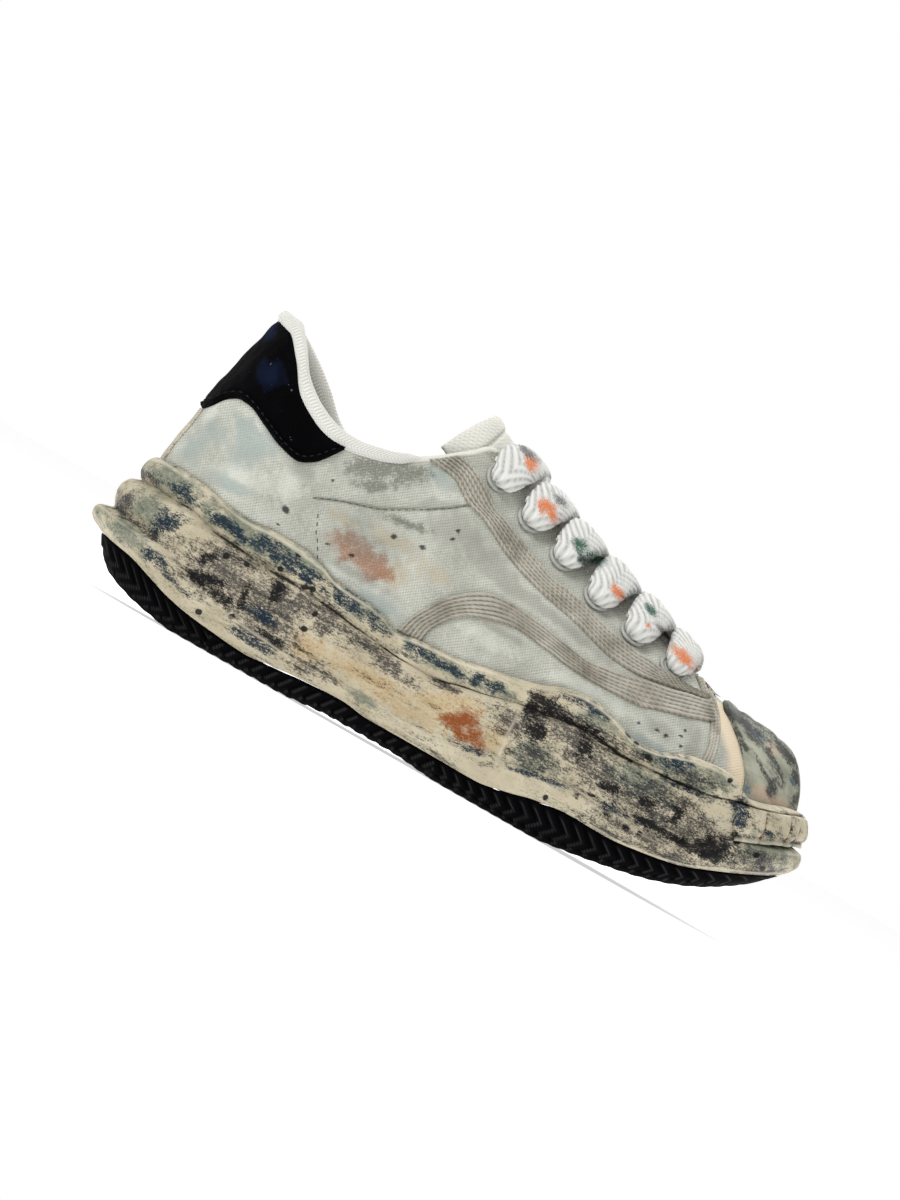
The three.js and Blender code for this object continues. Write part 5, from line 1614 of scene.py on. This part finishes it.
def set_instances(tree, wires, shape, scale, material):
    """Sets a shape on every point, lying along its own direction, then makes it all one plain mesh."""
    flow = wires["Geometry"]
    vectors = [
        flow.node("GeometryNodeInputNamedAttribute", {"Name": key}, data_type="FLOAT_VECTOR")
        for key in ("along", "away")
    ]
    turn = flow.node(
        "FunctionNodeAxesToRotation",
        {"Primary Axis": vectors[0], "Secondary Axis": vectors[1]},
        primary_axis="X",
        secondary_axis="Z",
    )
    sockets = {"Points": flow, "Instance": shape, "Rotation": turn, "Scale": scale}
    laid = flow.node("GeometryNodeInstanceOnPoints", sockets)
    real = laid.node("GeometryNodeRealizeInstances", {0: laid})
    done = real.node("GeometryNodeSetMaterial", {"Geometry": real, "Material": material})
    end = tree.nodes.new("NodeGroupOutput")
    tree.links.new(done.socket, end.inputs[0])


def grow(name, places, along, away, tree, sizes):
    """Runs a tree over points in pattern millimetres, and returns its result as a plain mesh piece."""
    made = make(name, places, [])
    for key, vectors in (("along", along), ("away", away)):
        stored = made.data.attributes.new(key, "FLOAT_VECTOR", "POINT")
        stored.data.foreach_set("vector", np.asarray(vectors, np.float32).ravel())
    flow = made.modifiers.new("flow", "NODES")
    flow.node_group = tree
    for socket in tree.interface.items_tree:
        if socket.in_out == "INPUT" and socket.name in sizes:
            flow[socket.identifier] = sizes[socket.name]
    seen = made.evaluated_get(bpy.context.evaluated_depsgraph_get())
    mesh = bpy.data.meshes.new_from_object(seen)
    made.modifiers.clear()
    made.data = mesh
    mesh.shade_smooth()
    return made


def eyelet_tree(material):
    tree, wires = flow_tree("eyelet", ("Flange Radius", "Flange Bead", "Ridge Radius", "Ridge Bead", "Barrel Depth"))
    flow = wires["Geometry"]

    def bead(radius, thick, squash):
        ring = flow.node("GeometryNodeCurvePrimitiveCircle", {"Resolution": 40, "Radius": radius})
        section = flow.node("GeometryNodeCurvePrimitiveCircle", {"Resolution": 10, "Radius": thick})
        swept = flow.node("GeometryNodeCurveToMesh", {"Curve": ring, "Profile Curve": section})
        return swept.node("GeometryNodeTransform", {"Geometry": swept, "Scale": (1, 1, squash)})

    barrel_ring = flow.node("GeometryNodeCurvePrimitiveCircle", {"Resolution": 40, "Radius": wires["Ridge Radius"]})
    section = flow.node(
        "GeometryNodeCurvePrimitiveQuadrilateral", {"Width": 0.4 * MM, "Height": wires["Barrel Depth"]}
    )
    barrel = flow.node("GeometryNodeCurveToMesh", {"Curve": barrel_ring, "Profile Curve": section})
    lowered = flow.node("ShaderNodeCombineXYZ", {"Z": wires["Barrel Depth"] * -0.5})
    barrel = flow.node("GeometryNodeTransform", {"Geometry": barrel, "Translation": lowered})
    join = tree.nodes.new("GeometryNodeJoinGeometry")
    parts = (
        bead(wires["Flange Radius"], wires["Flange Bead"], 0.85),
        bead(wires["Ridge Radius"], wires["Ridge Bead"], 1.0),
        barrel,
    )
    for part in parts:
        tree.links.new(part.socket, join.inputs[0])
    set_instances(tree, wires, Wire(tree, join.outputs[0]), (1, 1, 1), material)
    return tree


def eyelets():
    everyone = seats[-1] + seats[1]
    places = np.array([origin + away * 0.75 for origin, away in everyone])
    away = np.array([away for _, away in everyone])
    along = np.cross(np.cross(away, (1.0, 0.0, 0.0)), away)
    sizes = {
        "Flange Radius": 5.25 * MM, "Flange Bead": 0.85 * MM, "Ridge Radius": 3.75 * MM, "Ridge Bead": 0.7 * MM,
        "Barrel Depth": 3.6 * MM,
    }
    return grow("eyelets_painted", places, along, away, eyelet_tree(eyelet_paint()), sizes)


rings = eyelets()
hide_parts(*(f"eyelet_{name}_{row + 1}" for name in ("outer", "inner") for row in range(len(EYELETS))))
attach(rings, "root")


# ------------------------------------------------------------------ lace
# A fat white cotton lace, tubular-braided and soft, dabbed with orange and green. It comes up through each
# eyelet, swells over the edge of the throat, crosses, and dives under the other side to the next eyelet.

LACE_MARKS = {
    "orange": (
        (136, 123.6, 4, 3, -30), (151, 111.4, 6, 3, -20), (189, 97, 4.4, 2.2, -25), (223, 88, 6.5, 2.6, -15),
        (205, 92, 1.4, 1, 0),
    ),
    "green": ((167, 105.5, 4, 3, -20), (176, 104.4, 4, 3, 0), (203, 97.6, 4, 1.6, -20), (172, 101, 3, 2, 0)),
    "soot": ((133, 126.6, 6, 1.8, -10), (152, 117, 4, 1.8, -20), (173, 102, 3, 2.2, 0), (212, 92.6, 5, 1.2, -20)),
}


def lace_cotton():
    made, wire, shader = finish("lace_cotton", 0.95, Specular_IOR_Level=0.1)
    fuzz = wire.noise(0.5, 3, 0.7)
    # Painted shade: greyer in the grooves between the braid's yarn rows.
    base = (wire.value("rib") * 0.9 + fuzz * 0.3).clamp().mix(colour(138, 138, 132), colour(229, 229, 225))
    base = (((wire.noise(8, 3) - 0.55) * 4).clamp() * 0.25).mix(base, colour(180, 178, 168))
    for name, paint, amount in (
        ("orange", colour(212, 112, 46), 0.92), ("green", colour(34, 84, 66), 0.95), ("soot", colour(60, 60, 62), 0.8)
    ):
        cover = ((wire.value(name) - 0.44) * 1.9 + (fuzz - 0.5) * 4 + (wire.value("rib") - 0.6) * 0.9).clamp()
        base = (cover * amount).mix(base, paint)
    connect(shader, Base_Color=base, Normal=bumped(wire, fuzz, 0.35))
    return made


THROAT_LEAN = np.array([0.93, 0.0, -0.36])  # down the throat, towards the toe
STRAND_SIDES = 36
OVER_STRAND, UNDER_STRAND = 4.4, 2.3  # how high the two strands of a crossing lie over the tongue


def strand(path, widths, thicks, count=120):
    """A puffy braided tube. Widths and thicknesses are given at each of the path's points."""
    line_points, place = spread(path, count)
    wide = np.interp(place, np.arange(len(path)), widths)[:, None] / 2
    thick = np.interp(place, np.arange(len(path)), thicks)[:, None] / 2
    smooth = np.array([0.25, 0.5, 0.25])
    for _ in range(8):
        for field in (wide, thick):
            field[1:-1, 0] = np.convolve(field[:, 0], smooth, "same")[1:-1]
    along = np.gradient(line_points, axis=0)
    step = np.linalg.norm(along, axis=-1, keepdims=True)
    along /= step
    across = THROAT_LEAN - along * (along @ THROAT_LEAN)[:, None]
    across /= np.linalg.norm(across, axis=-1, keepdims=True)
    lift = np.cross(across, along)
    lift *= np.sign(lift[count // 2, 2])
    angle = np.arange(STRAND_SIDES)[None] * 2 * np.pi / STRAND_SIDES
    run = np.cumsum(step)[:, None]
    # Yarns run in slanting rows that meet in a herringbone down the middle of each face.
    fold = np.abs(((angle / (np.pi / 2)) % 2) - 1)
    rib = np.abs(np.sin(np.pi * (run / 3.6 - 2.6 * fold + 0.25 * np.sin(run / 3)))) ** 0.7
    yarn = 0.5 + 0.5 * np.cos(2 * np.pi * (run / 1.1 + 5 * fold))
    bulk = 1 + 0.19 * (rib - 0.6) + 0.03 * (yarn - 0.5) - 0.1 * np.exp(-((fold / 0.1) ** 2))
    x_part = wide * np.cos(angle) * bulk
    z_part = thick * np.sign(np.sin(angle)) * np.abs(np.sin(angle)) ** 0.85 * bulk
    rings = line_points[:, None] + across[:, None] * x_part[..., None] + lift[:, None] * z_part[..., None]
    return rings.reshape(-1, 3), (rib * (0.8 + 0.2 * yarn)).ravel()


def throat_point(row, side, out):
    x, z = EYELETS[row]
    u = on_face(x, z, side)[0] + 0.12 * -side
    return skin(u, np.array(0.985), np.array(out))


def over_eyelet(row, side, out):
    origin, away = seats[side][row]
    return origin + away * out


def crossing(row, side):
    this_x, next_x = EYELETS[row][0], EYELETS[row + 1][0]
    middle_x = (this_x + next_x) / 2 + 1
    over = OVER_STRAND if side < 0 else UNDER_STRAND
    middle = np.array([middle_x, drift(middle_x), crest(middle_x) + over])
    end_x = next_x - 5
    dive = np.array([end_x, -side * 8.5 + drift(end_x), crest(end_x) + 1.2])
    hidden = over_eyelet(row + 1, -side, -4.0)
    knee = throat_point(row, side, 5.4)
    knee[0] += 1.4
    loop_top = over_eyelet(row, side, 5.4) + np.array([-1.6, 0, -0.8])
    low = over_eyelet(row, side, 1.2) + np.array([-1.0, 0, -0.6])
    path = [over_eyelet(row, side, -3.6), low, loop_top, knee, middle, dive, hidden]
    path[2][0] += 1.5
    widths = (4.6, 5.4, 13.5, 17, 13, 9, 5)
    thicks = (4.4, 4.8, 7.0, 7.4, 4.6, 2.2, 2.0)
    return strand(path, widths, thicks)


def bottom_bar():
    row = len(EYELETS) - 1
    middle_x = EYELETS[row][0] + 3
    middle = np.array([middle_x, drift(middle_x), crest(middle_x) + 6.0])
    path = []
    for side in (-1, 1):
        knee = throat_point(row, side, 5.0)
        knee[0] += 0.8
        half = [over_eyelet(row, side, -3.6), over_eyelet(row, side, 1.2), over_eyelet(row, side, 5.2), knee]
        path.append(half if side < 0 else half[::-1])
    widths = (4.6, 5.2, 12, 15.5, 14, 15.5, 12, 5.2, 4.6)
    thicks = (4.4, 4.8, 6.8, 7.0, 5.6, 7.0, 6.8, 4.8, 4.4)
    return strand([*path[0], middle, *path[1]], widths, thicks, count=170)


def laced(name, strands, material):
    points, faces, ribs = [], [], []
    for rings, rib in strands:
        faces += tube_faces(len(rings) // STRAND_SIDES, STRAND_SIDES, sum(map(len, points)))
        points.append(rings)
        ribs.append(rib)
    points = np.concatenate(points)
    values = {"rib": np.concatenate(ribs), **marked(points, LACE_MARKS)}
    return make(name, points, faces, values, slots=[material], outward=True)


cotton = lace_cotton()
crossings = laced("lace_crossed", [crossing(row, side) for row in range(len(EYELETS) - 1) for side in (1, -1)], cotton)
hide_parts(*(f"lace_crossing_{row + 1}" for row in range(len(EYELETS) - 1)))
bar = laced("lace_bottom_bar", [bottom_bar()], cotton)
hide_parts("lace_bar")
for piece in (crossings, bar):
    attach(piece, "root")


# ------------------------------------------------------------------ stitching
# Thread sewn through the canvas by machine: grey along the collar panel's seam and in a short row below it,
# pale along the eyestay's edge and the vamp hem, and black round the heel tab's hem.

THREAD_ROWS = {
    "pale": (
        ((120, 119.2), (138, 111.6), (160, 103.7), (184, 95.4), (206, 89.2), (222, 84.8), (229, 82.6)),
        ((231, 85.2), (238.2, 80.2), (243.6, 75), (246.6, 69.6), (248.4, 64), (249.3, 59), (249.4, 54.5)),
    ),
    "grey": (
        ((71, 71.3), (77, 74), (84, 76.5), (95, 80.2), (105, 85.7), (115, 91.7), (124, 98.5)),
        ((83, 52.4), (82, 54), (80, 57.5), (78, 60), (76.5, 63.5), (75.4, 66)),
    ),
    "dark": (
        (
            (15, 81.4), (19, 84.2), (23.4, 89.4), (28, 92.2), (34, 91), (42, 87.4), (51, 83.6), (58, 82.4), (63, 85),
            (68, 90.6),
        ),
    ),
}
THREAD = {"length": 1.9, "thick": 0.5, "pitch": 2.6}


def thread(name, paint):
    made, wire, shader = finish(name, 0.8, Specular_IOR_Level=0.25)
    connect(shader, Base_Color=wire.noise(3, 2).mix(paint, tuple(c * 0.7 for c in paint[:3]) + (1.0,)))
    return made


def stitch_tree(material):
    tree, wires = flow_tree("stitch", ("Stitch Length", "Stitch Thickness"))
    flow = wires["Geometry"]
    ball = flow.node("GeometryNodeMeshUVSphere", {"Segments": 8, "Rings": 6, "Radius": 0.5})
    scale = flow.node(
        "ShaderNodeCombineXYZ",
        {"X": wires["Stitch Length"], "Y": wires["Stitch Thickness"], "Z": wires["Stitch Thickness"]},
    )
    set_instances(tree, wires, ball, scale, material)
    return tree


def stitching(kind, rows, paint, out):
    places, along, away = [], [], []
    for side in (-1, 1):
        for row in rows:
            _, length = traced(row, 2)
            spots, _ = traced(row, int(length / THREAD["pitch"]))
            u, t = on_face(spots[:, 0], spots[:, 1], side)
            here = cloth(u, t, out)
            places.append(here)
            along.append(np.gradient(here, axis=0))
            away.append(cloth(u, t, out + 1.0) - here)
    sizes = {"Stitch Length": THREAD["length"] * MM, "Stitch Thickness": THREAD["thick"] * MM}
    tree = stitch_tree(thread(f"{kind}_thread", paint))
    return grow(f"{kind}_stitching", np.concatenate(places), np.concatenate(along), np.concatenate(away), tree, sizes)


for piece in (
    stitching("pale", THREAD_ROWS["pale"], colour(206, 204, 194), 0.15),
    stitching("grey", THREAD_ROWS["grey"], colour(92, 94, 84), 0.0),
    stitching("dark", THREAD_ROWS["dark"], colour(20, 21, 26), GAP + OVERLAY + 0.1),
):
    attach(piece, "root")
